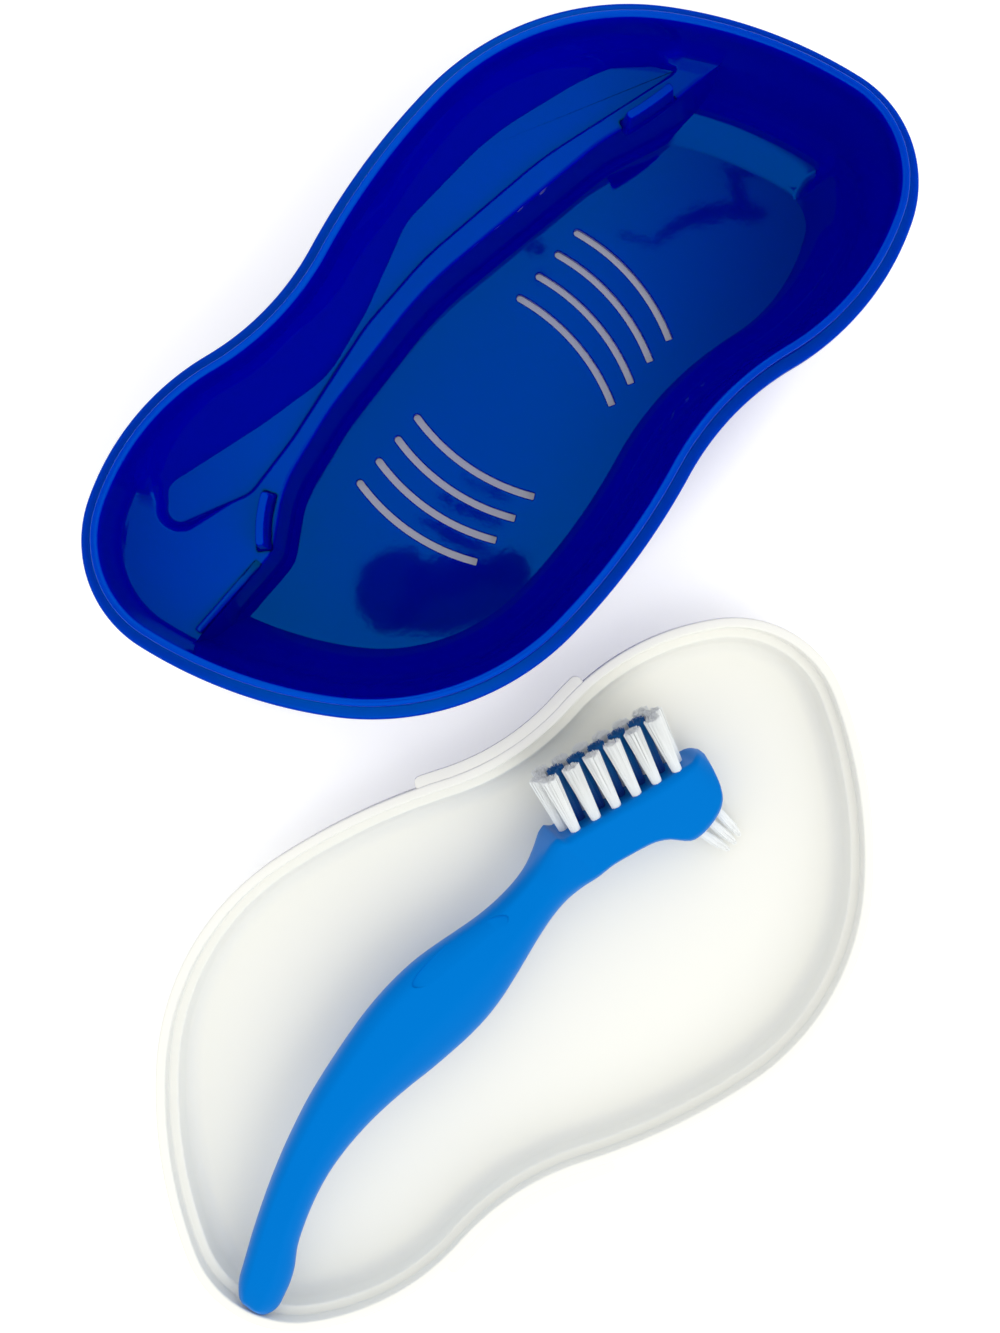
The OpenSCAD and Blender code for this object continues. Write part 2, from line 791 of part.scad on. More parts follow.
tray();
lid();
brush_handle();
upper_tuft_1();
upper_tuft_2();
upper_tuft_3();
upper_tuft_4();
upper_tuft_5();
upper_tuft_6();
centre_tuft_1();
centre_tuft_2();
centre_tuft_3();
centre_tuft_4();
centre_tuft_5();
end_tuft_1();
end_tuft_2();
lower_tuft_1();
lower_tuft_2();
lower_tuft_3();
lower_tuft_4();
lower_tuft_5();
lower_tuft_6();
toe_tuft_1();
toe_tuft_2();
toe_tuft_3();
tuft_anchors();
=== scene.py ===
"""Open denture case with its brush: the looks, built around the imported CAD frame.

Metres, +Z up, in the frame of the CAD part. Shapes are worked out in millimetres in the
tray's own frame, or the brush's own frame, and laid in place at the end.
"""
import bisect
import json
import math
import random

import bpy
from mathutils import Matrix, Vector

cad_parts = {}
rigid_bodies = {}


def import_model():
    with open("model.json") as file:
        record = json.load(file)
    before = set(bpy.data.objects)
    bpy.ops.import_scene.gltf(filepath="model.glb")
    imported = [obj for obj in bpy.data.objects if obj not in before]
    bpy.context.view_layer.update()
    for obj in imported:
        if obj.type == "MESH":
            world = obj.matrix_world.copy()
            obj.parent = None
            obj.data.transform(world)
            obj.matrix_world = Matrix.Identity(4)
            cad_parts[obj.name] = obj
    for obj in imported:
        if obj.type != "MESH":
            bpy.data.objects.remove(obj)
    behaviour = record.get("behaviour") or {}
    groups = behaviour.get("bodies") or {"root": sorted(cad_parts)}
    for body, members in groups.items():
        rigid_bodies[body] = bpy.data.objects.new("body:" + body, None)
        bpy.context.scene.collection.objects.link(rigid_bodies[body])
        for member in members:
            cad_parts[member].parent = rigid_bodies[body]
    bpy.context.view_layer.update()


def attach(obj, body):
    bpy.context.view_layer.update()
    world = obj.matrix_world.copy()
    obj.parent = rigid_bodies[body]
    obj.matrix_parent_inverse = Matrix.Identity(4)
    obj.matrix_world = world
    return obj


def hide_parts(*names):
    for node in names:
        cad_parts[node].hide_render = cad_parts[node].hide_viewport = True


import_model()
MM = 0.001


def turned(axis, degrees):
    """Turn about an axis."""
    return Matrix.Rotation(math.radians(degrees), 4, axis)


def moved(x, y, z=0):
    """Move by millimetres."""
    return Matrix.Translation(Vector((x, y, z)) * MM)


# Places on the table, in millimetres, and turns in degrees
TRAY_Y, TRAY_TURN = 62.751, 42
LID_X, LID_Y, LID_TURN = 3, -58.649, 37
BRUSH_AT, BRUSH_TURN, BRUSH_PITCH, BRUSH_ROLL = (LID_X - 51.7, LID_Y - 68.4, 10.5), 50, 0.69, 20
BRUSH_PLACE = (moved(*BRUSH_AT) @ turned("Z", BRUSH_TURN) @ turned("Y", BRUSH_PITCH)
               @ turned("X", BRUSH_ROLL))

# Outline of tray and lid: half of it as arcs of (radius, sweep), a hollow one with a
# negative radius; the other half is the same turned half round.
HALF = [(95, 24), (54, 54), (140, 15.5), (-54, 31), (52, 40.5), (24, 77)]
START_HEADING = -74


def left(heading):
    """Direction to the left of a heading in degrees."""
    a = math.radians(heading)
    return Vector((-math.sin(a), math.cos(a)))


def chain():
    """Centre, radius, first heading and sweep of each arc round the outline."""
    p, h, half = Vector((0, 0)), START_HEADING, []
    for radius, sweep in HALF:
        centre = p + radius * left(h)
        half.append((centre, radius, h, sweep))
        h += math.copysign(sweep, radius)
        p = centre - radius * left(h)
    middle = p / 2
    half = [(c - middle, r, h, a) for c, r, h, a in half]
    return half + [(-c, r, h + 180, a) for c, r, h, a in half]


ARCS = chain()
LENGTHS = [abs(r) * math.radians(a) for _, r, _, a in ARCS]
ROUND = sum(LENGTHS)


def rim(s, d):
    """Point of the outline at the length s along it, set in by d."""
    s %= ROUND
    for (centre, radius, h, sweep), length in zip(ARCS, LENGTHS):
        if s <= length:
            break
        s -= length
    h += math.copysign(min(s / length, 1) * sweep, radius)
    return centre - (radius - d) * left(h)


OUTLINE_STEPS = 900
OUTLINE = [rim(ROUND * k / OUTLINE_STEPS, 0) for k in range(OUTLINE_STEPS)]


def hold_in(p, least):
    """Keeps a point at least so far in from the outline."""
    k = min(range(OUTLINE_STEPS), key=lambda i: (OUTLINE[i] - p).length_squared)
    return p if (OUTLINE[k] - p).length > least else rim(ROUND * k / OUTLINE_STEPS, least)


def rounded(path, steps=10):
    """A closed outline of (x, y, radius) corners with each corner rounded."""
    out = []
    for i, (x, y, r) in enumerate(path):
        p = Vector((x, y))
        if r == 0:
            out.append(p)
            continue
        q0, q1 = path[i - 1], path[(i + 1) % len(path)]
        u = (Vector(q0[:2]) - p).normalized()
        w = (Vector(q1[:2]) - p).normalized()
        inner = math.acos(max(-1, min(1, u.dot(w))))
        c = p + (u + w).normalized() * r / math.sin(inner / 2)
        first = p + u * r / math.tan(inner / 2) - c
        turn = math.copysign(math.pi - inner, u.x * w.y - u.y * w.x)
        for k in range(steps + 1):
            a = -turn * k / steps
            out.append(c + Vector((first.x * math.cos(a) - first.y * math.sin(a),
                                   first.x * math.sin(a) + first.y * math.cos(a))))
    return out


def along(points, closed=False):
    """Length along a line of points, as a table to walk it by."""
    table = [0.0]
    run = points + points[:1] if closed else points
    for a, b in zip(run, run[1:]):
        table.append(table[-1] + (b - a).length)
    return table


def walk(points, table, s):
    """Point at length s along a line of points."""
    lo = max(0, min(bisect.bisect_right(table, s), len(table) - 1) - 1)
    f = (s - table[lo]) / max(table[lo + 1] - table[lo], 1e-9)
    return points[lo].lerp(points[(lo + 1) % len(points)], f)


def offset_at(points, table, s, out, closed=False, span=0.8):
    """Point at length s, moved by out to the right of the way the line runs."""
    total = table[-1]
    before, after = s - span, s + span
    if closed:
        before, after = before % total, after % total
    tangent = (walk(points, table, after) - walk(points, table, before)).normalized()
    return walk(points, table, s) + out * Vector((tangent.y, -tangent.x))


# Modelling helpers. Each leaves what it shaped as the active object.
def deselect():
    for o in bpy.context.selected_objects:
        o.select_set(False)


def pick(o):
    """Makes an object the active and only selected one."""
    deselect()
    o.select_set(True)
    bpy.context.view_layer.objects.active = o


def active(name=None):
    """The object just made, named if a name is given."""
    o = bpy.context.object
    if name:
        o.name = o.data.name = name
    return o


def sheet(rows, closed=False):
    """A grid laid over rows of points, each row as long as the next."""
    if closed:
        rows = [list(r) + [r[0]] for r in rows]
    n, m = len(rows[0]), len(rows)
    bpy.ops.mesh.primitive_grid_add(x_subdivisions=n - 1, y_subdivisions=m - 1, size=1)
    o = active()
    o.data.vertices.foreach_set("co", [v * MM for r in rows for p in r for v in p])
    return o


def disc(points):
    """A flat face over a loop of points."""
    bpy.ops.mesh.primitive_circle_add(vertices=len(points), fill_type="NGON")
    o = active()
    o.data.vertices.foreach_set("co", [v * MM for p in points for v in p])
    return o


def join(parts, name):
    """Joins shapes into one object."""
    pick(parts[0])
    for o in parts[1:]:
        o.select_set(True)
    if len(parts) > 1:
        bpy.ops.object.join()
    return active(name)


def edit(o, select):
    """Opens a mesh for editing, with all or nothing selected."""
    pick(o)
    bpy.ops.object.mode_set(mode="EDIT")
    bpy.ops.mesh.select_all(action=select)


def weld(o):
    """Merges points that meet and turns all faces outwards."""
    edit(o, "SELECT")
    bpy.ops.mesh.remove_doubles(threshold=0.004 * MM)
    bpy.ops.mesh.normals_make_consistent(inside=False)
    bpy.ops.object.mode_set(mode="OBJECT")


def smooth(o, angle):
    """Shades smoothly over edges that turn less than the angle, in degrees."""
    pick(o)
    bpy.ops.object.shade_smooth_by_angle(angle=math.radians(angle))


def cut_away(o, tool):
    """Cuts a shape out of a piece and removes it."""
    pick(o)
    cut = o.modifiers.new("cut", "BOOLEAN")
    cut.operation, cut.solver, cut.object = "DIFFERENCE", "EXACT", tool
    bpy.ops.object.modifier_apply(modifier=cut.name)
    bpy.data.objects.remove(tool)


def arc(centre, r, a0, a1, n):
    """Points of a section's arc, between two angles in degrees."""
    out = []
    for k in range(n + 1):
        a = math.radians(a0 + (a1 - a0) * k / n)
        out.append((centre[0] + r * math.cos(a), centre[1] + r * math.sin(a)))
    return out


def bar(length, width, round_near, round_far, pieces, steps=6):
    """A rounded bar as (along, across) points, with its own rounding at either end."""
    out = []
    corners = [(length, -width / 2, round_far, -90), (length, width / 2, round_far, 0),
               (0, width / 2, round_near, 90), (0, -width / 2, round_near, 180)]
    for i, (x, y, r, a0) in enumerate(corners):
        r = min(r, width / 2 - 0.001)
        cx = x - r if i < 2 else x + r
        cy = y + r if y < 0 else y - r
        for k in range(steps + 1):
            a = math.radians(a0 + 90 * k / steps)
            out.append((cx + r * math.cos(a), cy + r * math.sin(a)))
        if i in (1, 3):
            ends = (length - min(round_far, width / 2), min(round_near, width / 2))
            u0, u1 = ends if i == 1 else ends[::-1]
            out += [(u0 + (u1 - u0) * k / pieces, y) for k in range(1, pieces)]
    return out


def bent(points, centre, radius, start, way):
    """Lays (along, across) points round an arc."""
    out = []
    for u, v in points:
        a, r = math.radians(start) + way * u / radius, radius + v
        out.append(Vector((centre[0] + r * math.cos(a), centre[1] + r * math.sin(a))))
    return out


def lay(o, matrix):
    """Puts a finished shape in its place, in its mesh."""
    o.data.transform(matrix)
    o.data.update()


def copy_of(o, name):
    """A copy with a mesh of its own."""
    c = o.copy()
    c.data = o.data.copy()
    c.name = c.data.name = name
    bpy.context.scene.collection.objects.link(c)
    return c


def fill_between(o, z):
    """Fills the flat area between the open edge loops at a height."""
    edit(o, "DESELECT")
    bpy.ops.mesh.select_mode(type="EDGE")
    bpy.ops.mesh.select_non_manifold(extend=False, use_wire=False, use_multi_face=False,
                                     use_non_contiguous=False, use_verts=False)
    bpy.ops.object.mode_set(mode="OBJECT")
    v = o.data.vertices
    for e in o.data.edges:
        if e.select:
            a, b = (v[i].co for i in e.vertices)
            e.select = all(abs(p.z / MM - z) < 0.01 for p in (a, b))
    bpy.ops.object.mode_set(mode="EDIT")
    bpy.ops.mesh.fill(use_beauty=True)
    bpy.ops.mesh.select_mode(type="VERT")
    bpy.ops.object.mode_set(mode="OBJECT")


# Tray sizes, in millimetres, measured in from the outline and up from the table
TRAY_H, WALL, DRAFT = 38, 1.8, math.radians(6)
FLOOR, FLOOR_R = 3.0, 12.5
SHELF, SHELF_R, TROUGH_DEEP = 24.0, 1.2, 2.0
STEEP = math.radians(66)  # the fillets stop here, short of level, in a crisp crease
LIP_IN, LIP_R = 4.0, 0.3
SEAT_IN, SEAT_Z, SEAT_T, SEAT_R, SEAT_EDGE_R = 2.6, 34.0, 1.4, 0.25, 0.5
EDGE_T, EDGE_Z, EDGE_OUT_R, EDGE_IN_R = 1.2, 30.8, 0.4, 0.3
SPLIT = 31.0  # height where the rim's section ends and the skins begin
RING = 6.9  # the shelf's edge strips end so far in, and it is filled between them
STRIP = 0.9, 0.3  # width of the strip along the divider, on the inner and the outer skin
SLOPE_TOP = 29.5
DIVIDER_FOOT_R, DIVIDER_LEAN = 2.5, math.radians(3)
DIVIDER_EDGE = [(0, 0.45), (0.04, 0.26), (0.14, 0.12), (0.28, 0.03), (0.45, 0)]  # (down, back)
# The floor's fillet grows from one length along the outline to another, and beyond that it
# draws back and ends in a gently rising band: from, over, how much, and below what height
FULLER = {"start": 150, "over": 70, "by": 3.6, "below": 14}
BAND = {"start": 217, "over": 6, "back": 2, "by": 5, "below": 1.3}
# The divider's path and the trough's outline, as corners of (x, y, radius)
EDGE = [(130, 12.5, 0), (60, 16.4, 30), (46, 20, 40), (0, 22, 80),
        (-30, 16.6, 60), (-47, 11.5, 25), (-57.5, 3.2, 6), (-130, -6, 0)]
TROUGH = [(68, 20, 3), (34, 25.6, 80), (4, 26.4, 60), (-14, 24.2, 40), (-40, 17.2, 60),
          (-53, 14.8, 6), (-71, 20.8, 3), (-64, 27.2, 4), (-42, 23.6, 40), (-26, 22, 20),
          (-12, 26.4, 20), (6, 34.4, 14), (30, 36, 60), (52, 31.8, 50), (67, 25.5, 3)]
PATH = rounded(EDGE)
PATH_AT = along(PATH)
RIGHT_END = ROUND / 2 + 30
ENDS = {"right": (Vector(EDGE[1][:2]), Vector(EDGE[0][:2]), (ROUND / 2, ROUND / 2 + 60)),
        "left": (Vector(EDGE[-2][:2]), Vector(EDGE[-1][:2]), (0, 40))}


def wall_at(z):
    """How far in the inner wall is at a height."""
    return LIP_IN + (TRAY_H - z) * math.tan(DRAFT)


def junction(end, d, into):
    """Where the divider, moved by into towards the deep side, meets the wall set in by d."""
    a, b, (lo, hi) = ENDS[end]
    t = (b - a).normalized()
    up = Vector((-t.y, t.x)) if end == "right" else Vector((t.y, -t.x))

    def over(s):
        return (rim(s, d) - a).dot(up) + into
    flip = over(lo) > 0
    for _ in range(40):
        mid = (lo + hi) / 2
        if (over(mid) > 0) == flip:
            lo = mid
        else:
            hi = mid
    return (lo + hi) / 2


def path_reach(point):
    """Length along the divider nearest to a point on one of its straight ends."""
    if point.x > 0:
        a, b = PATH[0], PATH[1]
        return (point - a).dot((b - a).normalized())
    a, b = PATH[-1], PATH[-2]
    return PATH_AT[-1] - (point - a).dot((b - a).normalized())


def divider_line(start, end, into, n, soft=0):
    """Points along the divider from right to left, between two lengths along it."""
    out = []
    for k in range(n + 1):
        s = start + (end - start) * k / n
        out.append(offset_at(PATH, PATH_AT, s, soft * min(1, k / 8, (n - k) / 8) - into))
    return out


def flat(points, z):
    """Lays flat points at a height."""
    return [Vector((p.x, p.y, z)) for p in points]


# Points along the deep side, the shelf's wall, the trough's step, the divider and its ends
N_DEEP, N_SHELF, N_STEP, N_DIV, N_TIP = 250, 190, 260, 230, 8


def crease(radius, t, top, bottom):
    """Angles of a hollow fillet that stops short of the flat it runs onto, so that the two
    meet in a crisp line: from the wall's draft to where it reaches the bottom."""
    return DRAFT, math.asin((top - bottom) / (radius + t))


def fillet_centre(radius, level):
    """Distance in and height of the centre of a fillet between the wall and a flat."""
    z = level + radius * math.sin(STEEP)
    return wall_at(z) + radius / math.cos(DRAFT), z


def trough_line():
    """Outline of the trough, held off the wall."""
    return [hold_in(p, RING + 1.2) for p in rounded(TROUGH, 24)]


def trough_turn(line):
    """Twice the area inside a closed line, negative where it runs clockwise."""
    return sum(a.x * b.y - b.x * a.y for a, b in zip(line, line[1:] + line[:1]))


def reach_of(s, line):
    """How far in from the outline at s the trough begins, and where along its line."""
    start = rim(s, RING)
    inward = (rim(s, RING + 1) - start)
    best = None
    for k, p in enumerate(line):
        q = line[(k + 1) % len(line)]
        e = q - p
        cross = inward.x * e.y - inward.y * e.x
        if abs(cross) < 1e-9:
            continue
        w = p - start
        far = (w.x * e.y - w.y * e.x) / cross
        f = (w.x * inward.y - w.y * inward.x) / cross
        if far > 0 and 0 <= f <= 1 and (best is None or far < best[0]):
            slant = abs(e.normalized().dot(inward.normalized()))
            best = (far, k, f, slant)
    if best is None or best[0] > 16:
        return None
    far, k, f, slant = best
    return RING + far, k, f, slant


def trough_steps(t):
    """Section of the step down into the trough as (out, height)."""
    basin, edge_r, foot = (0.6, 0.3, 0.3) if t else (0, 0.45, 0.5)
    top, deep = SHELF - t, SHELF - TROUGH_DEEP - t
    turns = [math.radians(15 * k) for k in range(7)]
    out = [(basin + edge_r + 0.12, top)]
    out += [(basin + edge_r * (1 - math.sin(a)), top - edge_r * (1 - math.cos(a))) for a in turns]
    out += [(basin - foot * (1 - math.cos(a)), deep + foot * (1 - math.sin(a))) for a in turns]
    return out + [(basin - foot - 0.12, deep)]


def slope_profile(t, d_trough, rows):
    """Section of the slope from the wall down to the trough's floor, as (in, height)."""
    top, deep = SLOPE_TOP, SHELF - TROUGH_DEEP
    d_top = wall_at(top)
    line = []
    for k in range(rows - 2):
        x = k / (rows - 3)
        line.append((d_top + (d_trough - d_top) * x,
                     deep + (top - deep) * (0.62 * (1 - x) + 0.38 * (1 - x) ** 3)))
    line.append((d_trough + 0.62, deep))
    out = [(wall_at(SPLIT) - t / math.cos(DRAFT), SPLIT)]
    for k, (d, z) in enumerate(line):
        before, after = line[max(0, k - 1)], line[min(len(line) - 1, k + 1)]
        dd, dz = after[0] - before[0], after[1] - before[1]
        size = math.hypot(dd, dz)
        out.append((d + t * dz / size, z - t * dd / size))
    out[-1] = (out[-1][0], deep - t)
    return out


def ease(x):
    """Smooth step from 0 to 1."""
    x = max(0, min(1, x))
    return x * x * (3 - 2 * x)


def fuller(s, height):
    """How much wider the floor's fillet is at s: a fuller curve at the right end of the
    tray, and a gently rising band between there and the divider."""
    band = ease((s - BAND["start"]) / BAND["over"])
    grow = FULLER["by"] * ease((s - FULLER["start"]) / FULLER["over"]) * (1 - band)
    grow -= BAND["back"] * band
    return (grow * max(0, 1 - height / FULLER["below"]) ** 2
            + BAND["by"] * band * max(0, 1 - height / BAND["below"]))


def skin_wall(z, t):
    """How far in the wall is at a height, on the skin t behind the inner face."""
    return wall_at(z) - t / math.cos(DRAFT)


def deep_arc(t, d, a, b, z):
    """The deep side's wall at a height, from the length b along the outline to a."""
    lengths = [b + (a - b) * i / N_DEEP for i in range(N_DEEP + 1)]
    return flat([rim(s, d + fuller(s, z - FLOOR + t)) for s in lengths], z)


def deep_wall(t):
    """Wall of the deep side, down to the height of the shelf."""
    rows = []
    for z in (SPLIT, 29, 27, 25.5, SHELF - t):
        d = skin_wall(z, t)
        rows.append(deep_arc(t, d, junction("right", d, -t), junction("left", d, -t), z))
    return rows


def shelf_ramp(t):
    """Section from the wall over the shelf's fillet to a narrow flat, as (in, height), and
    the lengths along the outline between which each of its rows runs."""
    r, (cd, cz) = SHELF_R + t, fillet_centre(SHELF_R, SHELF)
    a0, a1 = crease(SHELF_R, t, cz, SHELF - t)
    ramp = [(skin_wall(SPLIT, t), SPLIT)]
    for k in range(1, 9):
        a = a0 + (a1 - a0) * k / 8
        ramp.append((cd - r * math.cos(a), cz - r * math.sin(a)))
    spans = [(junction("right", d, -t), junction("left", d, -t) + ROUND) for d, z in ramp]
    into = -STRIP[t > 0] - t
    spans.append((junction("right", RING, into), junction("left", RING, into) + ROUND))
    return ramp + [(RING, SHELF - t)], spans


def step_out(steps, k, p):
    """How far outside the trough's outline a row of its step is at p. Round the left end
    the step is wider."""
    soft_end = 1.5 * max(0, min(1, (-57 - p.x) / 9))
    return steps[k][0] + soft_end * (steps[k][1] - steps[-1][1]) / 2


def trough_side(t, ramp, spans):
    """The shelf's wall and the trough. Along the wall a slope runs down into the trough, and
    round the rest a step does. The slope blends into the step at either end."""
    line, steps = trough_line(), trough_steps(t)
    last_row = len(ramp) - 1

    def length_at(row, i):
        a, b = spans[min(row, last_row)]
        return a + (b - a) * i / N_SHELF
    reach = [reach_of(length_at(last_row, i), line) for i in range(N_SHELF + 1)]
    sloped = [i for i, hit in enumerate(reach) if hit and hit[3] < 0.6]
    first, last = sloped[0], sloped[-1]
    grid = [[] for _ in range(last_row + 3 + len(steps))]
    for i in range(first, last + 1):
        d_trough = reach[i][0]
        at = rim(length_at(last_row, i), d_trough)
        ins = [max(RING + 0.1, d_trough - step_out(steps, k, at)) for k in range(len(steps))]
        plain = ramp + [(RING + (ins[0] - RING) * f, SHELF - t) for f in (1 / 3, 2 / 3)]
        plain += [(d, z) for d, (_, z) in zip(ins, steps)]
        slope = slope_profile(t, d_trough, len(grid))
        share = ease(min((i - first) / 4, (last - i) / 5))
        for row, ((d0, z0), (d1, z1)) in enumerate(zip(plain, slope)):
            p = rim(length_at(row, i), d0 + (d1 - d0) * share)
            grid[row].append(Vector((p.x, p.y, z0 + (z1 - z0) * share)))
    rows = [flat([rim(length_at(row, i), d) for i in range(N_SHELF + 1)], z)
            for row, (d, z) in enumerate(ramp)]
    parts = [sheet(grid), sheet([r[:first + 1] for r in rows]), sheet([r[last:] for r in rows])]
    # The step, from one end of the slope round to the other
    table = along(line, closed=True)
    q0, q1 = (table[k] + (table[k + 1] - table[k]) * f
              for _, k, f, _ in (reach[first], reach[last]))
    if q1 < q0:
        q1 += table[-1]
    side = 1 if trough_turn(line) > 0 else -1
    chain_rows = []
    for k, (_, z) in enumerate(steps):
        row = []
        for i in range(N_STEP + 1):
            q = (q0 + (q1 - q0) * i / N_STEP) % table[-1]
            out = side * step_out(steps, k, walk(line, table, q))
            row.append(hold_in(offset_at(line, table, q, out, closed=True), RING + 0.1))
        row = flat(row, z)
        row[0], row[-1] = grid[last_row + 3 + k][0], grid[last_row + 3 + k][-1]
        chain_rows.append(row)
    parts += [sheet(chain_rows), disc(chain_rows[-1] + list(reversed(grid[-1][1:-1])))]
    return parts, rows


def divider_depth(z, t):
    """How far the divider's face has come out towards the deep side at a height: it leans,
    and a fillet runs from its foot onto the floor."""
    lean = math.tan(DIVIDER_LEAN)
    foot_z = FLOOR + DIVIDER_FOOT_R * math.sin(STEEP)
    depth = (SHELF - t - z) * lean
    if z < foot_z:
        r = DIVIDER_FOOT_R + t
        x = min(1, (foot_z - z) / r)
        return max(depth, (SHELF - foot_z) * lean + r - r * math.sqrt(max(0, 1 - x * x)))
    return depth


def divider_side(t, column, rows, spans):
    """The divider, the fillet round the deep side and the edge of the floor."""
    shelf_z, floor_z = SHELF - t, FLOOR - t
    tip_right, tip_left = (path_reach(p.to_2d()) for p in (rows[-2][0], rows[-2][-1]))

    def both(d, into, z, soft=0):
        """A row along the divider and one along the deep side, that meet at their ends."""
        d_right = d + fuller(RIGHT_END, z - floor_z)
        a, b = junction("right", d_right, into - t), junction("left", d, into - t)
        start, end = path_reach(rim(a, d_right)), path_reach(rim(b, d))
        m0, m1 = tip_right, tip_left
        if z < shelf_z - 1:
            m0, m1 = max(m0, start + 0.8), min(m1, end - 0.8)
        row = divider_line(start, m0, into - t, N_TIP)[:-1]
        row += divider_line(m0, m1, into - t, N_DIV, soft)
        row += divider_line(m1, end, into - t, N_TIP)[1:]
        row[0], row[-1] = rim(a, d_right), rim(b, d)
        return flat(row, z), deep_arc(t, d, a, b, z)
    pairs = [both(skin_wall(shelf_z - down, t), 0, shelf_z - down, back)
             for down, back in DIVIDER_EDGE]
    pairs += [both(skin_wall(z, t), divider_depth(z, t), z) for z in (20, 17.5)]
    r, (cd, cz) = FLOOR_R + t, fillet_centre(FLOOR_R, FLOOR)
    a0, a1 = crease(FLOOR_R, t, cz, floor_z)
    for k in range(17):
        a = a0 + (a1 - a0) * k / 16
        z = cz - r * math.sin(a)
        pairs.append(both(cd - r * math.cos(a), divider_depth(z, t), z))
    pairs.append(both(cd - r * math.cos(a1) + 0.6, divider_depth(floor_z, t) + 0.6, floor_z))
    div_rows, deep_rows = zip(*pairs)
    parts = [sheet(deep_rows), sheet(div_rows)]
    # Ends of the shelf's fillet, seen from the deep side
    top = div_rows[0]
    for end in (0, -1):
        deep_side = [row[-1 - end] for row in column]
        tip = top[1:N_TIP] if end == 0 else list(reversed(top[-N_TIP:-1]))
        parts.append(disc(deep_side + tip + [row[end] for row in reversed(rows[1:-1])]))
    # A narrow flat along the divider, up to which the shelf is filled
    start, end = (path_reach(rim(s, RING)) for s in spans[-1])
    strip = flat(divider_line(start, end, -t - STRIP[t > 0], N_DIV), shelf_z)
    strip[0], strip[-1] = rows[-1][0], rows[-1][-1]
    return parts + [sheet([top[N_TIP:-N_TIP], strip])]


def skin(t):
    """One face of the tray's shell, t behind the inner face, as parts to join, and the
    lengths along the outline of the points of its upper edge."""
    column, (ramp, spans) = deep_wall(t), shelf_ramp(t)
    parts = [sheet(column)]
    shelf_parts, rows = trough_side(t, ramp, spans)
    parts += shelf_parts + divider_side(t, column, rows, spans)
    d = skin_wall(SPLIT, t)
    right, left_end = junction("right", d, -t), junction("left", d, -t)
    lengths = [left_end + (right - left_end) * i / N_DEEP for i in range(N_DEEP)]
    lengths += [right + (left_end + ROUND - right) * i / N_SHELF for i in range(N_SHELF)]
    return parts, lengths


def tray_rim(inner_s, outer_s):
    """Lip, ledge and turned edge, from the inner wall over to the outer one."""
    low = SEAT_Z - SEAT_T
    profile = [(wall_at(SPLIT), SPLIT), (wall_at(SEAT_Z), SEAT_Z)]
    profile += arc((wall_at(TRAY_H - 0.5) - LIP_R, TRAY_H - LIP_R), LIP_R, 0, 90, 6)
    profile += arc((SEAT_IN + SEAT_R, TRAY_H - SEAT_R), SEAT_R, 90, 180, 6)
    profile += [(SEAT_IN, SEAT_Z + 1.5)]
    profile += arc((SEAT_IN - SEAT_R, SEAT_Z + SEAT_R), SEAT_R, 0, -90, 6)
    profile += arc((SEAT_EDGE_R, SEAT_Z - SEAT_EDGE_R), SEAT_EDGE_R, 90, 180, 6)
    profile += arc((EDGE_OUT_R, EDGE_Z + EDGE_OUT_R), EDGE_OUT_R, 180, 270, 6)
    profile += arc((EDGE_T - EDGE_IN_R, EDGE_Z + EDGE_IN_R), EDGE_IN_R, -90, 0, 6)
    profile += [(EDGE_T, low - 0.3), (EDGE_T + 0.3, low), (skin_wall(low, WALL) - 0.2, low)]
    profile += [(skin_wall(z, WALL), z) for z in (low - 0.2, SPLIT)]
    rows = []
    for i, (d, z) in enumerate(profile):
        f = i / (len(profile) - 1)
        rows.append(flat([rim(a + (b - a) * f, d) for a, b in zip(inner_s, outer_s)], z))
    return sheet(rows, closed=True)


# Drain slots: two groups of four, each slot bent round a centre from its rounded end. The
# section is that of a slot's edge, as (grow, height).
SLOT_R, SLOT_W, SLOT_LEN, SLOT_STEP = 43, 1.5, 30, (6, 0.72)
SLOT_GROUPS = [((-7.5, -1), 18.7, -1), ((25.4, 2), 174, 1)]

SLOT_SECTION = [(0.22, FLOOR), (0.07, FLOOR - 0.06), (0, FLOOR - 0.22), (0, FLOOR - WALL + 0.2),
                (0.06, FLOOR - WALL + 0.06), (0.2, FLOOR - WALL)]


def drain_slots():
    """The edges of the slots through the floor. Each group's first slot is shaped and copied."""
    parts = []
    for centre, start, way in SLOT_GROUPS:
        loops = []
        for grow, z in SLOT_SECTION:
            near = SLOT_W / 2 + grow
            outline = [(u - near, v) for u, v in
                       bar(SLOT_LEN + near + grow, SLOT_W + 2 * grow, near, 0.25 + grow, 30)]
            loops.append(flat(bent(outline, centre, SLOT_R, start, way), z))
        parts.append(sheet(loops, closed=True))
        for k in range(1, 4):
            twin = copy_of(parts[-k], "slot")
            lay(twin, moved(-k * SLOT_STEP[0], -k * SLOT_STEP[1]))
            parts.append(twin)
    return parts


def make_tray():
    """The tray's shell: both skins, the rim between them and the edges of the slots."""
    inner, inner_s = skin(0)
    outer, outer_s = skin(WALL)
    shell = join(inner + outer + drain_slots() + [tray_rim(inner_s, outer_s)], "tray_shell")
    weld(shell)
    for z in (SHELF, SHELF - WALL, FLOOR, FLOOR - WALL):
        fill_between(shell, z)
    weld(shell)
    return shell


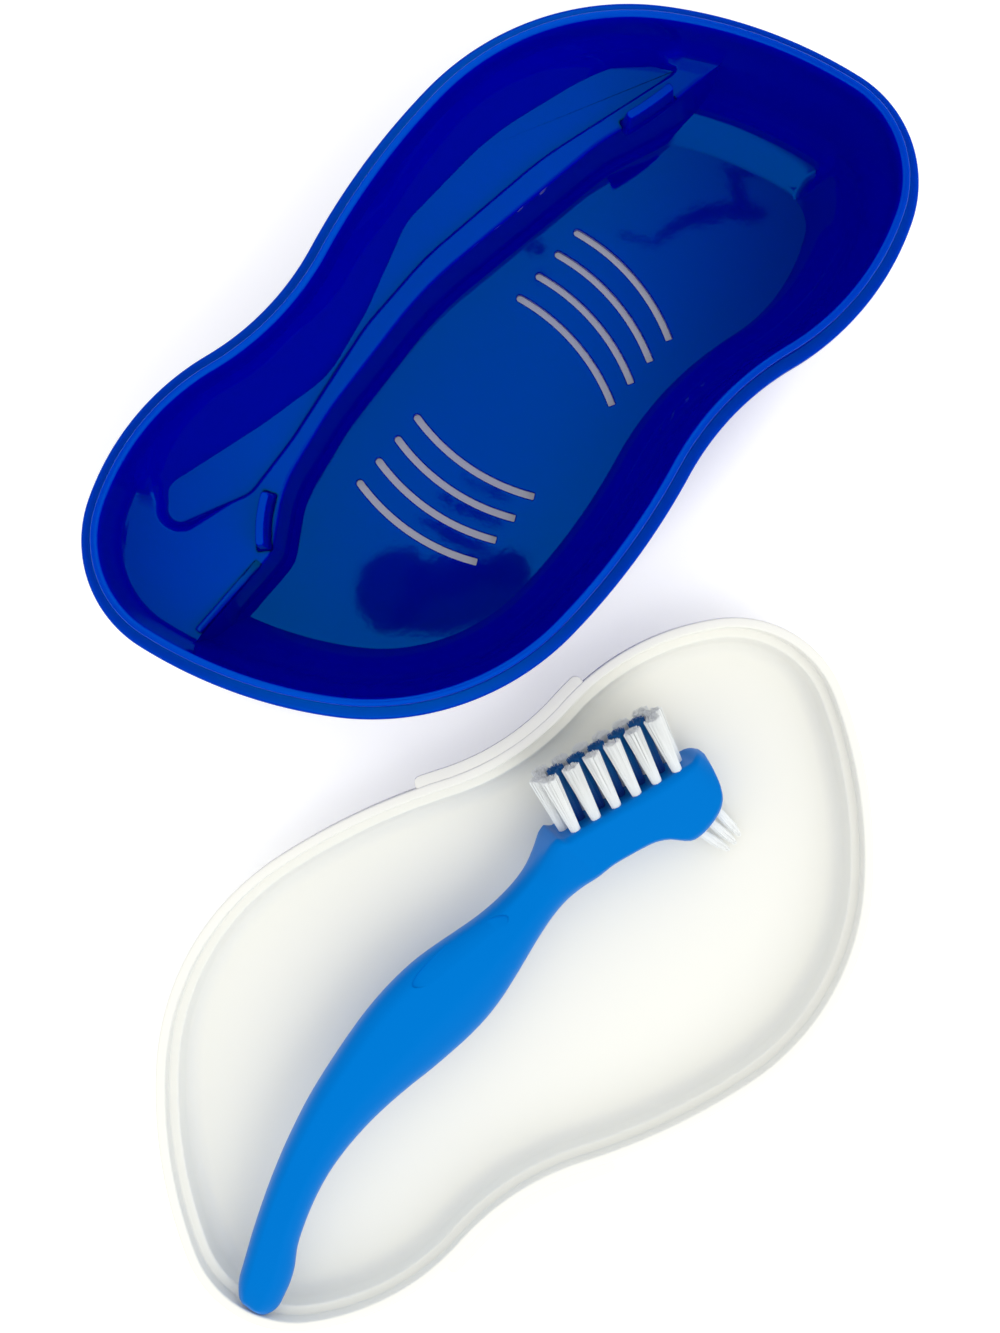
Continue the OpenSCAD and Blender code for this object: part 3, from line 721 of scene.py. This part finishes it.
# Clips, as centre and radius of the bend and direction of the middle, with the section of a
# clip as (height, grow), and the kerb
CLIPS = [((63, 77.8), 60, 263), ((-35.8, -11.9), 28, 132.2)]
CLIP_LEN, CLIP_W, CLIP_H, CLIP_R, CLIP_LEAN = 10.4, 1.6, 7, 0.55, math.radians(4)
CLIP_SECTION = [(-0.2, 0.5), (0.1, 0.22), (0.5, 0), (CLIP_H - 0.5, 0), (CLIP_H - 0.12, -0.04),
                (CLIP_H, -0.16)]
KERB_AT, KERB_TURN, KERB_LEN, KERB_W, KERB_RISE = (-61, 3.6), 187, 18, 1.4, 1.8
# Feet: their places, and their section as (radius, height)
FEET = [(-50, 4), (-42, -25), (46, 9), (60, -13)]
FOOT_SECTION = [(3.4, 0), (3.85, 0.12), (4, 0.45), (4, 1.35)]


def make_clip(centre, radius, middle):
    """An upright fin that the brush is pressed behind."""
    loops = []
    for up, grow in CLIP_SECTION:
        more = (CLIP_H - max(0.5, min(up, CLIP_H - 0.5))) * math.tan(CLIP_LEAN) + grow
        outline = [(u - CLIP_LEN / 2 - more, v) for u, v in
                   bar(CLIP_LEN + 2 * more, CLIP_W + 2 * more, CLIP_R, CLIP_R, 12)]
        loops.append(flat(bent(outline, centre, radius, middle, 1), SHELF + up))
    return closed_stack(loops, "clip")


def make_kerb():
    """A low ridge that rises along the end of the divider."""
    loops = []
    for share, grow in ((None, 0.25), (0, 0.05), (0.8, 0), (0.95, -0.1), (1, -0.32)):
        loop = []
        for u, v in bar(KERB_LEN + 2 * grow, KERB_W + 2 * grow, 0.5, 0.5, 18):
            u -= grow
            rise = KERB_RISE * max(0, min(1, u / KERB_LEN))
            up = -0.2 if share is None else 0.05 + share * rise
            loop.append(Vector((u, v, SHELF + up)))
        loops.append(loop)
    kerb = closed_stack(loops, "kerb")
    lay(kerb, moved(*KERB_AT) @ turned("Z", KERB_TURN))
    return kerb


def closed_stack(loops, name):
    """A closed shape between its lowest loop and its highest."""
    o = join([sheet(loops, closed=True), disc(loops[0]), disc(loops[-1])], name)
    weld(o)
    return o


def make_feet():
    """The feet, shaped once and copied."""
    foot = closed_stack([[Vector((x, y, z)) for x, y in arc((0, 0), r, 0, 360, 40)[:-1]]
                         for r, z in FOOT_SECTION], "foot")
    feet = [foot] + [copy_of(foot, "foot") for _ in FEET[1:]]
    for o, (x, y) in zip(feet, FEET):
        lay(o, moved(x, y))
    return feet


def dress_tray():
    parts = [make_tray(), make_kerb()] + [make_clip(*clip) for clip in CLIPS] + make_feet()
    o = join(parts, "tray_moulding")
    smooth(o, 20)
    lay(o, moved(0, TRAY_Y) @ turned("Z", TRAY_TURN))
    dressed(o, "tray", ["tray"], "tray_plastic")


def paint(o, slot):
    """Gives a piece the look of its material slot."""
    o.data.materials.clear()
    o.data.materials.append(LOOKS[slot])


def dressed(o, body, nodes, slot):
    """Says which body a piece rides on and which nodes and slot it dresses."""
    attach(o, body)
    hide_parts(*nodes)
    paint(o, slot)


# Lid, drawn the way it stands on the tray: heights from the edge of its skirt
LID_H, LID_DRAFT, LID_T = 12.5, math.radians(9), 1.5
LID_TOP_IN, LID_R, STEP_Z = 11.0, 3.5, 4.35
SKIRT_IN, SKIRT_OUT, SKIRT_R = 2.25, 0.2, 0.4
# Thumb tabs, with their edge's section as (grow, height)
TAB_OUT, TAB_LEN, TAB_R = 2.0, 41.0, 1.3
TAB_SECTION = [(-0.3, 0.2), (-0.08, 0.28), (0, 0.5), (0, 1.5), (-0.08, 1.72), (-0.3, 1.8)]


def lid_in(z):
    """How far in the lid's inner wall is at a height."""
    return 4.2 + (z - STEP_Z) * math.tan(LID_DRAFT)


def lid_profile():
    """Section of the lid as (distance in, height), from its inner face round to its outer."""
    cz = LID_TOP_IN - LID_R
    cd = lid_in(cz) + LID_R / math.cos(LID_DRAFT)
    out = [(cd + 0.6, LID_TOP_IN)] + arc((cd, cz), LID_R, 90, 171, 10)
    out += arc((lid_in(STEP_Z + 0.5) - 0.5, STEP_Z + 0.5), 0.5, 0, -90, 4)
    out += arc((SKIRT_IN + 0.3, STEP_Z - 0.3), 0.3, 90, 180, 3)
    out += [(SKIRT_IN, 2)] + arc((SKIRT_IN - SKIRT_R, SKIRT_R), SKIRT_R, 0, -90, 4)
    out += arc((SKIRT_OUT + SKIRT_R, SKIRT_R), SKIRT_R, 270, 180, 4) + [(SKIRT_OUT, 2.5)]
    out += arc((SKIRT_OUT + 1, STEP_Z + LID_T - 1), 1, 180, 90, 5)
    shoulder = STEP_Z + LID_T
    d = lid_in(shoulder) - LID_T / math.cos(LID_DRAFT)
    out += [(d - 0.4, shoulder), (d - 0.1, shoulder + 0.1), (d + 0.05, shoulder + 0.4)]
    out += arc((cd, cz), LID_R + LID_T, 171, 90, 10) + [(cd + 0.6, LID_H)]
    return out


def thumb_tab():
    """A flat strip round a waist, to press the lid off by."""
    middle, n = sum(LENGTHS[:3]) + LENGTHS[3] / 2, 60
    loops = []
    for grow, z in TAB_SECTION:
        out_d, half, loop = TAB_OUT + grow, TAB_LEN / 2 + grow, []
        runs = [half * math.cos(math.pi * k / n) for k in range(n + 1)]
        for u in runs:
            x = min(half - abs(u), TAB_R)
            round_off = TAB_R - math.sqrt(max(0, TAB_R ** 2 - (TAB_R - x) ** 2))
            loop.append(rim(middle - u, round_off - out_d))
        loops.append(flat(loop + [rim(middle + u, 0.8) for u in runs], z))
    return closed_stack(loops, "thumb_tab")


def dress_lid():
    around = [ROUND * k / 420 for k in range(420)]
    rows = [flat([rim(s, d) for s in around], z) for d, z in lid_profile()]
    shell, tab = closed_stack(rows, "lid_shell"), thumb_tab()
    twin = copy_of(tab, "thumb_tab")
    lay(twin, turned("Z", 180))
    o = join([shell, tab, twin], "lid_moulding")
    smooth(o, 40)
    lay(o, moved(LID_X, LID_Y, LID_H) @ turned("Z", LID_TURN) @ turned("X", 180))
    dressed(o, "lid", ["lid"], "lid_plastic")


# Brush, drawn along X from its tail, bristles toward +Y. Each station is [x, edge on the
# back, edge on the bristle side, half thickness, share of boxiness].
STATIONS = [
    [-1.2, 0.4, 4.6, 1.2, 0], [-0.8, -0.6, 5.4, 2.2, 0], [0, -1.4, 6.2, 2.9, 0],
    [1.5, -2.1, 7.4, 3.3, 0], [3, -2.2, 8.3, 3.5, 0], [5, -1.7, 9.2, 3.6, 0],
    [8, -0.8, 10.6, 3.6, 0], [11, 0.6, 12, 3.7, 0], [15, 3.2, 13.7, 3.8, 0],
    [20, 5.4, 15.7, 4, 0], [25, 7.1, 17.5, 4.2, 0], [30, 8.3, 19.1, 4.4, 0],
    [35, 8.9, 20.5, 4.6, 0], [40, 9, 21.7, 4.8, 0], [45, 8.7, 22.6, 4.9, 0], [50, 8, 23.3, 5, 0],
    [55, 7, 23.9, 5, 0], [60, 5.8, 24.3, 5, 0], [65, 4.8, 24.4, 5, 0], [70, 4, 24.1, 5, 0],
    [75, 3.6, 23.4, 4.9, 0], [80, 3.8, 22.1, 4.8, 0], [85, 4.5, 20.5, 4.6, 0],
    [90, 5.4, 19, 4.4, 0], [95, 6.3, 18, 4.3, 0], [100, 6.9, 17.6, 4.3, 0],
    [104, 7, 17.8, 4.6, 0.1], [108, 6.8, 18.5, 5.2, 0.5], [111, 6.5, 19.1, 5.7, 0.9],
    [112.6, 6.3, 19, 6, 1], [113.6, 6.1, 17.6, 6, 1], [116, 5.5, 0, 6, 1], [119, 4.3, 0, 6, 1],
    [122, 3, 0, 6, 1], [125, 1.4, 0, 6, 1], [127, -0.5, 0, 6, 1], [128.2, -2.4, 0, 6, 1],
    [129.2, -4, 0, 6, 1], [130.6, -5, 0, 6, 1], [133, -5.5, 0, 6, 1], [136, -5.5, 0, 5.9, 1],
    [138.5, -5, 0, 5.7, 1], [140.5, -3.8, 0, 5.4, 1], [142, -1.9, 0, 4.9, 1],
    [143.2, 0.1, 6.4, 4.1, 0.8], [144.2, 2.2, 6, 3, 0.5], [144.9, 3.8, 5.2, 1.4, 0],
]
FACE_X, FACE_Y, SLANT = 113.6, 17.6, math.radians(-21.3)
# The oval rest for the thumb: its middle, its turn and tilt, its length, width and depth
THUMB_AT, THUMB_TURN, THUMB_TILT, THUMB_SIZE = (82.9, 18.7, 3.3), -15.2, -29, (23.6, 5.2, 0.3)
# Tufts: middle of the face's rows and steps along and across them, and places on the toe
# as (x, y, lean)
TUFT_MIDDLE, TUFT_PITCH, TUFT_ROW, TUFT_LEN, TOE_LEN = 15.5, 4.8, 3.6, 12.5, 10.2
TOE_TUFTS = [(132, -5.1, 7), (135.2, -5.3, 0), (138.2, -4.9, -7)]


def on_face(x):
    """Edge of the flat face that carries the tufts."""
    return FACE_Y + (x - FACE_X) * math.tan(SLANT)


def station(x):
    """Values of the handle's section at x, on a smooth curve through the stations."""
    rows = [[r[0], r[1], r[2] or on_face(r[0]), r[3], r[4]] for r in STATIONS]
    i = max(0, min(len(rows) - 2, sum(r[0] <= x for r in rows) - 1))
    a, b = rows[i], rows[i + 1]
    before, after = rows[max(0, i - 1)], rows[min(len(rows) - 1, i + 2)]
    t = (x - a[0]) / (b[0] - a[0])
    out = []
    for k in range(1, 5):
        m0 = (b[k] - before[k]) / (b[0] - before[0]) * (b[0] - a[0])
        m1 = (after[k] - a[k]) / (after[0] - a[0]) * (b[0] - a[0])
        if k == 2 and (a[0] in (112.6, 113.6) or b[0] in (112.6, 113.6)):
            m0 = m1 = b[k] - a[k]
        h = (2 * t ** 3 - 3 * t ** 2 + 1) * a[k] + (t ** 3 - 2 * t ** 2 + t) * m0
        out.append(h + (3 * t ** 2 - 2 * t ** 3) * b[k] + (t ** 3 - t ** 2) * m1)
    return out


def section_point(x, a):
    """Point of the handle's section: an oval with a soft ridge along its flat sides, that
    turns into a rounded box at the head."""
    low, high, half, boxy = station(x)
    middle, wide = (low + high) / 2, (high - low) / 2
    c, s = math.cos(a), math.sin(a)
    ridge = 1 - 0.34 * abs(c + 0.15)
    oval = (c, math.copysign(min(abs(s) ** 0.8, ridge + 0.02), s))
    box = [math.copysign(min(1, 1.06 * abs(v) ** 0.42), v) for v in (c, s)]
    boxy = max(0, min(1, boxy))
    return Vector((x, middle + wide * (oval[0] + boxy * (box[0] - oval[0])),
                   half * (oval[1] + boxy * (box[1] - oval[1]))))


def press_thumb_rest(o):
    """Presses the flat oval for the thumb into the handle."""
    bpy.ops.mesh.primitive_cylinder_add(vertices=64, radius=0.5, depth=1)
    oval = active("thumb_oval")
    lay(oval, moved(*THUMB_AT) @ turned("Z", THUMB_TURN) @ turned("X", THUMB_TILT)
        @ moved(0, 0, 2 - THUMB_SIZE[2])
        @ Matrix.Diagonal((THUMB_SIZE[0] * MM, THUMB_SIZE[1] * MM, 4 * MM, 1)))
    cut_away(o, oval)


def make_handle():
    xs, x = [], STATIONS[0][0]
    while x < STATIONS[-1][0]:
        xs.append(x)
        x += 0.35 if x < 3 or x > 139 or 110 < x < 115 else 0.8
    xs.append(STATIONS[-1][0])
    around = 72
    rows = [[section_point(x, 2 * math.pi * (k + 0.5) / around) for k in range(around)] for x in xs]
    o = closed_stack(rows, "brush_body")
    press_thumb_rest(o)
    smooth(o, 50)
    lay(o, BRUSH_PLACE)
    dressed(o, "brush", ["brush_handle"], "handle_plastic")


def make_tuft(name, count, foot, tip, length, ragged, thick, pointed, seed):
    """A bundle of bristles standing on the origin, spread over the tuft's foot and its tip."""
    rng = random.Random(seed)
    bristles = []
    for k in range(count):
        r = math.sqrt((k + 0.5) / count)
        a = k * math.radians(137.508)
        low = Vector((foot * r * math.cos(a), foot * r * math.sin(a), -0.4))
        reach = length - ragged * rng.random() - pointed * r ** 2 * length
        out = Vector((tip * r * math.cos(a) + rng.uniform(-0.12, 0.12),
                      tip * r * math.sin(a) + rng.uniform(-0.12, 0.12), reach))
        way = out - low
        bpy.ops.mesh.primitive_cone_add(vertices=5, radius1=thick * MM, radius2=0.8 * thick * MM,
                                        depth=way.length * MM, location=(low + way / 2) * MM,
                                        rotation=way.to_track_quat("Z", "Y").to_euler())
        bristles.append(active())
    o = join(bristles, name)
    pick(o)
    bpy.ops.object.transform_apply()
    smooth(o, 60)
    along_length = o.data.attributes.new("from_root", "FLOAT", "POINT")
    for v, d in zip(o.data.vertices, along_length.data):
        d.value = max(0, min(1, v.co.z / MM / length))
    return o


def face_spot(k, row, spin):
    """Place of a tuft on the bristle face, k along it and row across."""
    along = Vector((math.cos(SLANT), math.sin(SLANT), 0))
    out = Vector((-math.sin(SLANT), math.cos(SLANT), 0))
    across = along.cross(out)
    at = Vector((FACE_X, FACE_Y, 0)) + k * along + row * across
    m = Matrix((along, -across, out)).transposed().to_4x4()
    m.translation = at * MM
    return BRUSH_PLACE @ m @ Matrix.Rotation(spin, 4, "Z")


def toe_spot(x, y, lean):
    """Place of a tuft on the back of the toe."""
    return BRUSH_PLACE @ moved(x, y) @ turned("Z", lean) @ turned("X", 90)


def make_tufts():
    """Every tuft, copied from one pattern for the face and one for the toe."""
    pattern = make_tuft("tuft_pattern", count=120, foot=0.98, tip=1.85, length=TUFT_LEN,
                        ragged=0.35, thick=0.11, pointed=0, seed=3)
    toe_pattern = make_tuft("toe_pattern", count=110, foot=0.75, tip=0.95, length=TOE_LEN,
                            ragged=0.3, thick=0.12, pointed=0.3, seed=5)
    places = []
    for k in range(6):
        places.append(("upper_tuft_%d" % (k + 1), k - 2.62, TUFT_ROW, "white_bristle"))
        places.append(("lower_tuft_%d" % (k + 1), k - 2.62, -TUFT_ROW, "white_bristle"))
    places += [("centre_tuft_%d" % (k + 1), k - 2.12, 0, "blue_bristle") for k in range(5)]
    places += [("end_tuft_1", -2.95, 0, "white_bristle"), ("end_tuft_2", 2.7, 0, "white_bristle")]
    for i, (node, k, across, slot) in enumerate(places):
        o = copy_of(pattern, node + "_bristles")
        lay(o, face_spot(TUFT_MIDDLE + k * TUFT_PITCH, across, 1.7 * i))
        dressed(o, "brush", [node], slot)
    for i, spot in enumerate(TOE_TUFTS):
        node = "toe_tuft_%d" % (i + 1)
        o = copy_of(toe_pattern, node + "_bristles")
        lay(o, toe_spot(*spot))
        dressed(o, "brush", [node], "white_bristle")
    for o in (pattern, toe_pattern):
        bpy.data.objects.remove(o)


def dress_anchors():
    """The anchor plates keep their CAD shapes, sealed in the handle."""
    for o in bpy.data.objects:
        if o.name.startswith("tuft_anchors") and o.type == "MESH":
            paint(o, "anchor_metal")


# Materials
def feed(tree, node, inputs):
    """Gives inputs of a node their values, or links them to the sockets given instead."""
    for key, value in inputs.items():
        if isinstance(value, bpy.types.NodeSocket):
            tree.links.new(value, node.inputs[key])
        else:
            node.inputs[key].default_value = value


def add(tree, kind, inputs, **settings):
    """Adds a shader node."""
    node = tree.nodes.new("ShaderNode" + kind)
    for key, value in settings.items():
        setattr(node, key, value)
    feed(tree, node, inputs)
    return node


def round_spot(tree, place, middle, size, turn):
    """How near to the middle of an oval a place is, 0 at its edge and 1 in the middle."""
    at = add(tree, "Mapping", {"Vector": place, "Location": (*middle, 0), "Scale": (*size, 1),
                               "Rotation": (0, 0, math.radians(turn))}, vector_type="TEXTURE")
    return add(tree, "TexGradient", {"Vector": at.outputs["Vector"]},
               gradient_type="SPHERICAL").outputs["Fac"]


def moulded_skin():
    """Faint unevenness of moulded plastic: two tones, a roughness and a surface normal."""
    g = bpy.data.node_groups.new("moulded_skin", "ShaderNodeTree")
    for way, name, kind in (("INPUT", "Tone", "Color"), ("INPUT", "Other tone", "Color"),
                            ("INPUT", "Roughness", "Float"), ("INPUT", "Grain", "Float"),
                            ("OUTPUT", "Colour", "Color"), ("OUTPUT", "Roughness", "Float"),
                            ("OUTPUT", "Normal", "Vector")):
        g.interface.new_socket(name, in_out=way, socket_type="NodeSocket" + kind)
    into, out = g.nodes.new("NodeGroupInput").outputs, g.nodes.new("NodeGroupOutput")
    place = add(g, "TexCoord", {}).outputs["Object"]
    broad = add(g, "TexNoise", {"Vector": place, "Scale": 22, "Detail": 2}).outputs["Fac"]
    fine = add(g, "TexNoise", {"Vector": place, "Scale": 900, "Detail": 3}).outputs["Fac"]
    tone = add(g, "Mix", {"Factor": broad, "A": into["Tone"], "B": into["Other tone"]},
               data_type="RGBA")
    rough = add(g, "Math", {0: fine, 1: 0.02, 2: into["Roughness"]}, operation="MULTIPLY_ADD")
    bump = add(g, "Bump", {"Distance": 0.0001, "Strength": into["Grain"], "Height": fine})
    feed(g, out, {"Colour": tone.outputs["Result"], "Roughness": rough.outputs["Value"],
                  "Normal": bump.outputs["Normal"]})
    return g


def start_material(name):
    """A new material with its node tree and main shader."""
    m = bpy.data.materials.new(name)
    m.use_nodes = True
    return m, m.node_tree, m.node_tree.nodes["Principled BSDF"]


def moulded(name, skin_group, tone, other, rough, grain, ior, tint, level=0.5, **more):
    """A moulded plastic, with what more its main shader is given."""
    m, tree, body = start_material(name)
    look = add(tree, "Group", {"Tone": (*tone, 1), "Other tone": (*other, 1),
                               "Roughness": rough, "Grain": grain}, node_tree=skin_group)
    feed(tree, body, {"IOR": ior, "Specular Tint": (*tint, 1), "Specular IOR Level": level,
                      "Base Color": look.outputs["Colour"],
                      "Roughness": look.outputs["Roughness"], "Normal": look.outputs["Normal"]})
    feed(tree, body, {key.replace("_", " "): value for key, value in more.items()})
    return m


def paint_rim_light(m, height, tone):
    """Painted light: a lighter tone on what faces up over a height, the lip and the ledge round it,
    for the light they catch.
    """
    tree, shares = m.node_tree, []
    body = tree.nodes["Principled BSDF"]
    for kind, socket, low, high in (("TexCoord", "Object", height - 0.0004, height),
                                    ("NewGeometry", "Normal", 0.35, 0.8)):
        split = add(tree, "SeparateXYZ", {"Vector": add(tree, kind, {}).outputs[socket]})
        shares.append(add(tree, "MapRange", {"From Min": low, "From Max": high,
                                             "Value": split.outputs["Z"]}).outputs["Result"])
    both = add(tree, "Math", dict(enumerate(shares)), operation="MULTIPLY")
    was = body.inputs["Base Color"].links[0].from_socket
    mix = add(tree, "Mix", {"Factor": both.outputs["Value"], "A": was, "B": (*tone, 1)},
              data_type="RGBA")
    feed(tree, body, {"Base Color": mix.outputs["Result"]})


def bristle(name, root, tip, sheen):
    """Nylon bristles, from the tone at their root to that at their tip; the darker root tone is
    painted shade down in the tuft.
    """
    m, tree, body = start_material(name)
    at = add(tree, "Attribute", {}, attribute_name="from_root")
    tone = add(tree, "ValToRGB", {"Fac": at.outputs["Fac"]})
    first, last = tone.color_ramp.elements
    first.color, last.color, last.position = (*root, 1), (*tip, 1), 0.55
    feed(tree, body, {"Roughness": sheen, "Base Color": tone.outputs["Color"]})
    return m


def make_materials():
    """The look of each material slot."""
    g = moulded_skin()
    tray = moulded("glossy_blue", g, (0.0, 0.0, 0.36), (0.0, 0.0, 0.33), rough=0.015, grain=0.02,
                   ior=1.9, tint=(0, 0.42, 1), Subsurface_Weight=1, Subsurface_Radius=(1, 1, 1),
                   Subsurface_Scale=0.006)
    # Painted light: a lighter blue on the upward faces of the lip and ledge
    paint_rim_light(tray, (SEAT_Z - 0.4) * MM, (0, 0.03, 0.42))
    return {
        "tray_plastic": tray,
        "lid_plastic": moulded("milky_white", g, (0.955, 0.95, 0.88), (0.945, 0.94, 0.87),
                               rough=0.3, grain=0.03, ior=1.45, tint=(1, 1, 1), level=0.3),
        "handle_plastic": moulded("satin_azure", g, (0.0, 0.178, 0.62), (0.0, 0.168, 0.59),
                                  rough=0.3, grain=0.03, ior=1.5, tint=(0, 0.5, 1), level=0.25),
        # The darker root tones are painted shade among the tufts
        "white_bristle": bristle("white_nylon", (0.86, 0.9, 0.92), (0.94, 0.96, 0.95), 0.4),
        "blue_bristle": bristle("blue_nylon", (0.0, 0.02, 0.25), (0.0, 0.12, 0.40), 0.4),
        "anchor_metal": moulded("stamped_metal", g, (0.6, 0.57, 0.5), (0.52, 0.5, 0.44),
                                rough=0.3, grain=0.1, ior=1.5, tint=(1, 1, 1), Metallic=1),
    }


# Studio: the floor's strengths in the open and under the tray, the lower one painted shade,
# its size and drop in metres, and its tones, the darker bluer one painted shade under the tray
FLOOR_GLOW, PAINTED_SHADE_GLOW, FLOOR_WIDE, FLOOR_DROP = 0.36, 0.1, 8, 0.0002
PAPER, PAPER_PAINTED_SHADE = (0.9, 0.9, 0.9, 1), (0.6, 0.66, 1, 1)
# Strength of the sky. Reflections see it as a ceiling, placed by slopes across and forth.
SKY, CEILING, ROOM = 0.95, 1.06, 0.05
CEILING_X, CEILING_EDGE, CEILING_END = -0.045, (0.06, 0.22), (0.84, 0.9)
# Dark things under the ceiling: middle, half length and half width as slopes, and turn in
# degrees. Noise moves their edges by up to RAGGED.
RAGGED, HUNG_EDGE = 0.008, (0.1, 0.18)
HUNG = [
    (-0.0557, 0.0402, 0.0266, 0.023, 60), (-0.02, 0.036, 0.0447, 0.0199, 18),
    (0.0037, 0.0507, 0.0145, 0.0115, 0), (-0.0231, 0.0685, 0.026, 0.0036, -25),
    (-0.0158, 0.0817, 0.0236, 0.003, -26), (-0.0074, 0.0932, 0.0157, 0.0018, -25),
    (0.1276, 0.2392, 0.0145, 0.0066, 0), (0.0956, 0.2324, 0.0199, 0.0048, 30),
    (0.0725, 0.2245, 0.0133, 0.0021, -14), (0.125, 0.2503, 0.0115, 0.0048, -62),
    (0.1282, 0.2597, 0.0157, 0.003, -5), (0.0163, 0.2209, 0.0091, 0.0042, -20),
    (-0.0273, 0.0481, 0.0266, 0.0133, 12), (0.1134, 0.2377, 0.0145, 0.0054, 20),
    (0.021, 0.2051, 0.0054, 0.0018, 60),
]
LAMP_AT, LAMP_POWER, LAMP_SIZE = (0.6, -0.6, 1.0), 4.2, 1.0
# Camera, in millimetres: its height and place over the table, the height of its picture
# there, and its sensor
CAMERA_UP, CAMERA_Y, PICTURE, SENSOR = 400, 4.1, 280, 36


def make_floor():
    """White paper that glows a little for the camera. Under the tray, where it is seen through
    the slots, shade is painted on it: less glow and a darker, bluer tone."""
    bpy.ops.mesh.primitive_plane_add(size=FLOOR_WIDE, location=(0, 0, -FLOOR_DROP))
    floor = active("floor")
    m, tree, body = start_material("floor_paper")
    place = add(tree, "TexCoord", {}).outputs["Object"]
    # Painted shade: under the tray the floor glows less and its tone is darker and bluer
    under = round_spot(tree, place, (0, TRAY_Y * MM), (0.09, 0.048), TRAY_TURN)
    strength = add(tree, "MapRange", {"From Max": 0.25, "To Min": FLOOR_GLOW,
                                      "To Max": PAINTED_SHADE_GLOW, "Value": under})
    glow = add(tree, "Math", {0: add(tree, "LightPath", {}).outputs["Is Camera Ray"],
                              1: strength.outputs["Result"]}, operation="MULTIPLY")
    paper = add(tree, "Mix", {"Factor": under, "A": PAPER, "B": PAPER_PAINTED_SHADE}, data_type="RGBA")
    feed(tree, body, {"Base Color": paper.outputs["Result"], "Roughness": 1,
                      "Specular IOR Level": 0, "Emission Color": (1, 1, 1, 1),
                      "Emission Strength": glow.outputs["Value"]})
    floor.data.materials.append(m)


def make_sky():
    """Even soft light all round. Reflections see a bright ceiling over a dark room, with a few
    dark things hung under it."""
    world = bpy.data.worlds.new("studio")
    bpy.context.scene.world = world
    world.use_nodes = True
    tree = world.node_tree

    def calc(kind, *values):
        return add(tree, "Math", dict(enumerate(values)), operation=kind).outputs["Value"]

    def ramp(value, edge, low, high):
        inputs = {"From Min": edge[0], "From Max": edge[1], "To Min": low, "To Max": high}
        return add(tree, "MapRange", {"Value": value, **inputs},
                   interpolation_type="SMOOTHSTEP").outputs["Result"]
    place = add(tree, "TexCoord", {}).outputs["Generated"]
    split = add(tree, "SeparateXYZ", {"Vector": place}).outputs
    up = calc("MAXIMUM", split["Z"], 0.05)
    across, forth = calc("DIVIDE", split["X"], up), calc("DIVIDE", split["Y"], up)
    spread = calc("ABSOLUTE", calc("ADD", across, -CEILING_X))
    light = calc("MULTIPLY", ramp(spread, CEILING_EDGE, 1, 0.2),
                 ramp(split["Z"], CEILING_END, 0, 1))
    flat_place = add(tree, "CombineXYZ", {"X": across, "Y": forth}).outputs["Vector"]
    noise = add(tree, "TexNoise", {"Vector": flat_place, "Scale": 60}).outputs["Color"]
    shifted = add(tree, "VectorMath", {0: noise, 1: (RAGGED, RAGGED, 0), 2: flat_place},
                  operation="MULTIPLY_ADD").outputs["Vector"]
    for x, y, half, width, turn in HUNG:
        spot = round_spot(tree, shifted, (x + RAGGED / 2, y + RAGGED / 2), (half, width), turn)
        light = calc("MULTIPLY", light, ramp(spot, HUNG_EDGE, 1, 0.05))
    rays = add(tree, "LightPath", {}).outputs["Is Glossy Ray"]
    room = calc("MULTIPLY_ADD", light, CEILING, ROOM)
    seen = add(tree, "Mix", {"Factor": rays, "A": 1, "B": room})
    feed(tree, tree.nodes["Background"], {"Strength": SKY, "Color": seen.outputs["Result"]})


def make_lamp():
    """One large square lamp, which reflections don't show."""
    light = bpy.data.lights.new("key_softbox", "AREA")
    light.energy, light.size = LAMP_POWER, LAMP_SIZE
    lamp = bpy.data.objects.new("key_softbox", light)
    lamp.location = LAMP_AT
    lamp.rotation_euler = (-Vector(LAMP_AT)).to_track_quat("-Z", "Y").to_euler()
    lamp.visible_glossy = False
    bpy.context.scene.collection.objects.link(lamp)


def make_camera():
    """Looks straight down on the table."""
    cam = bpy.data.cameras.new("camera")
    cam.sensor_fit = "VERTICAL"
    cam.sensor_height = SENSOR
    cam.lens = SENSOR * CAMERA_UP / PICTURE
    camera = bpy.data.objects.new("camera", cam)
    camera.location = (0, CAMERA_Y * MM, CAMERA_UP * MM)
    bpy.context.scene.collection.objects.link(camera)
    bpy.context.scene.camera = camera


LOOKS = make_materials()
dress_tray()
dress_lid()
make_handle()
make_tufts()
dress_anchors()
make_floor()
make_sky()
make_lamp()
make_camera()
bpy.context.scene.view_settings.view_transform = "Standard"
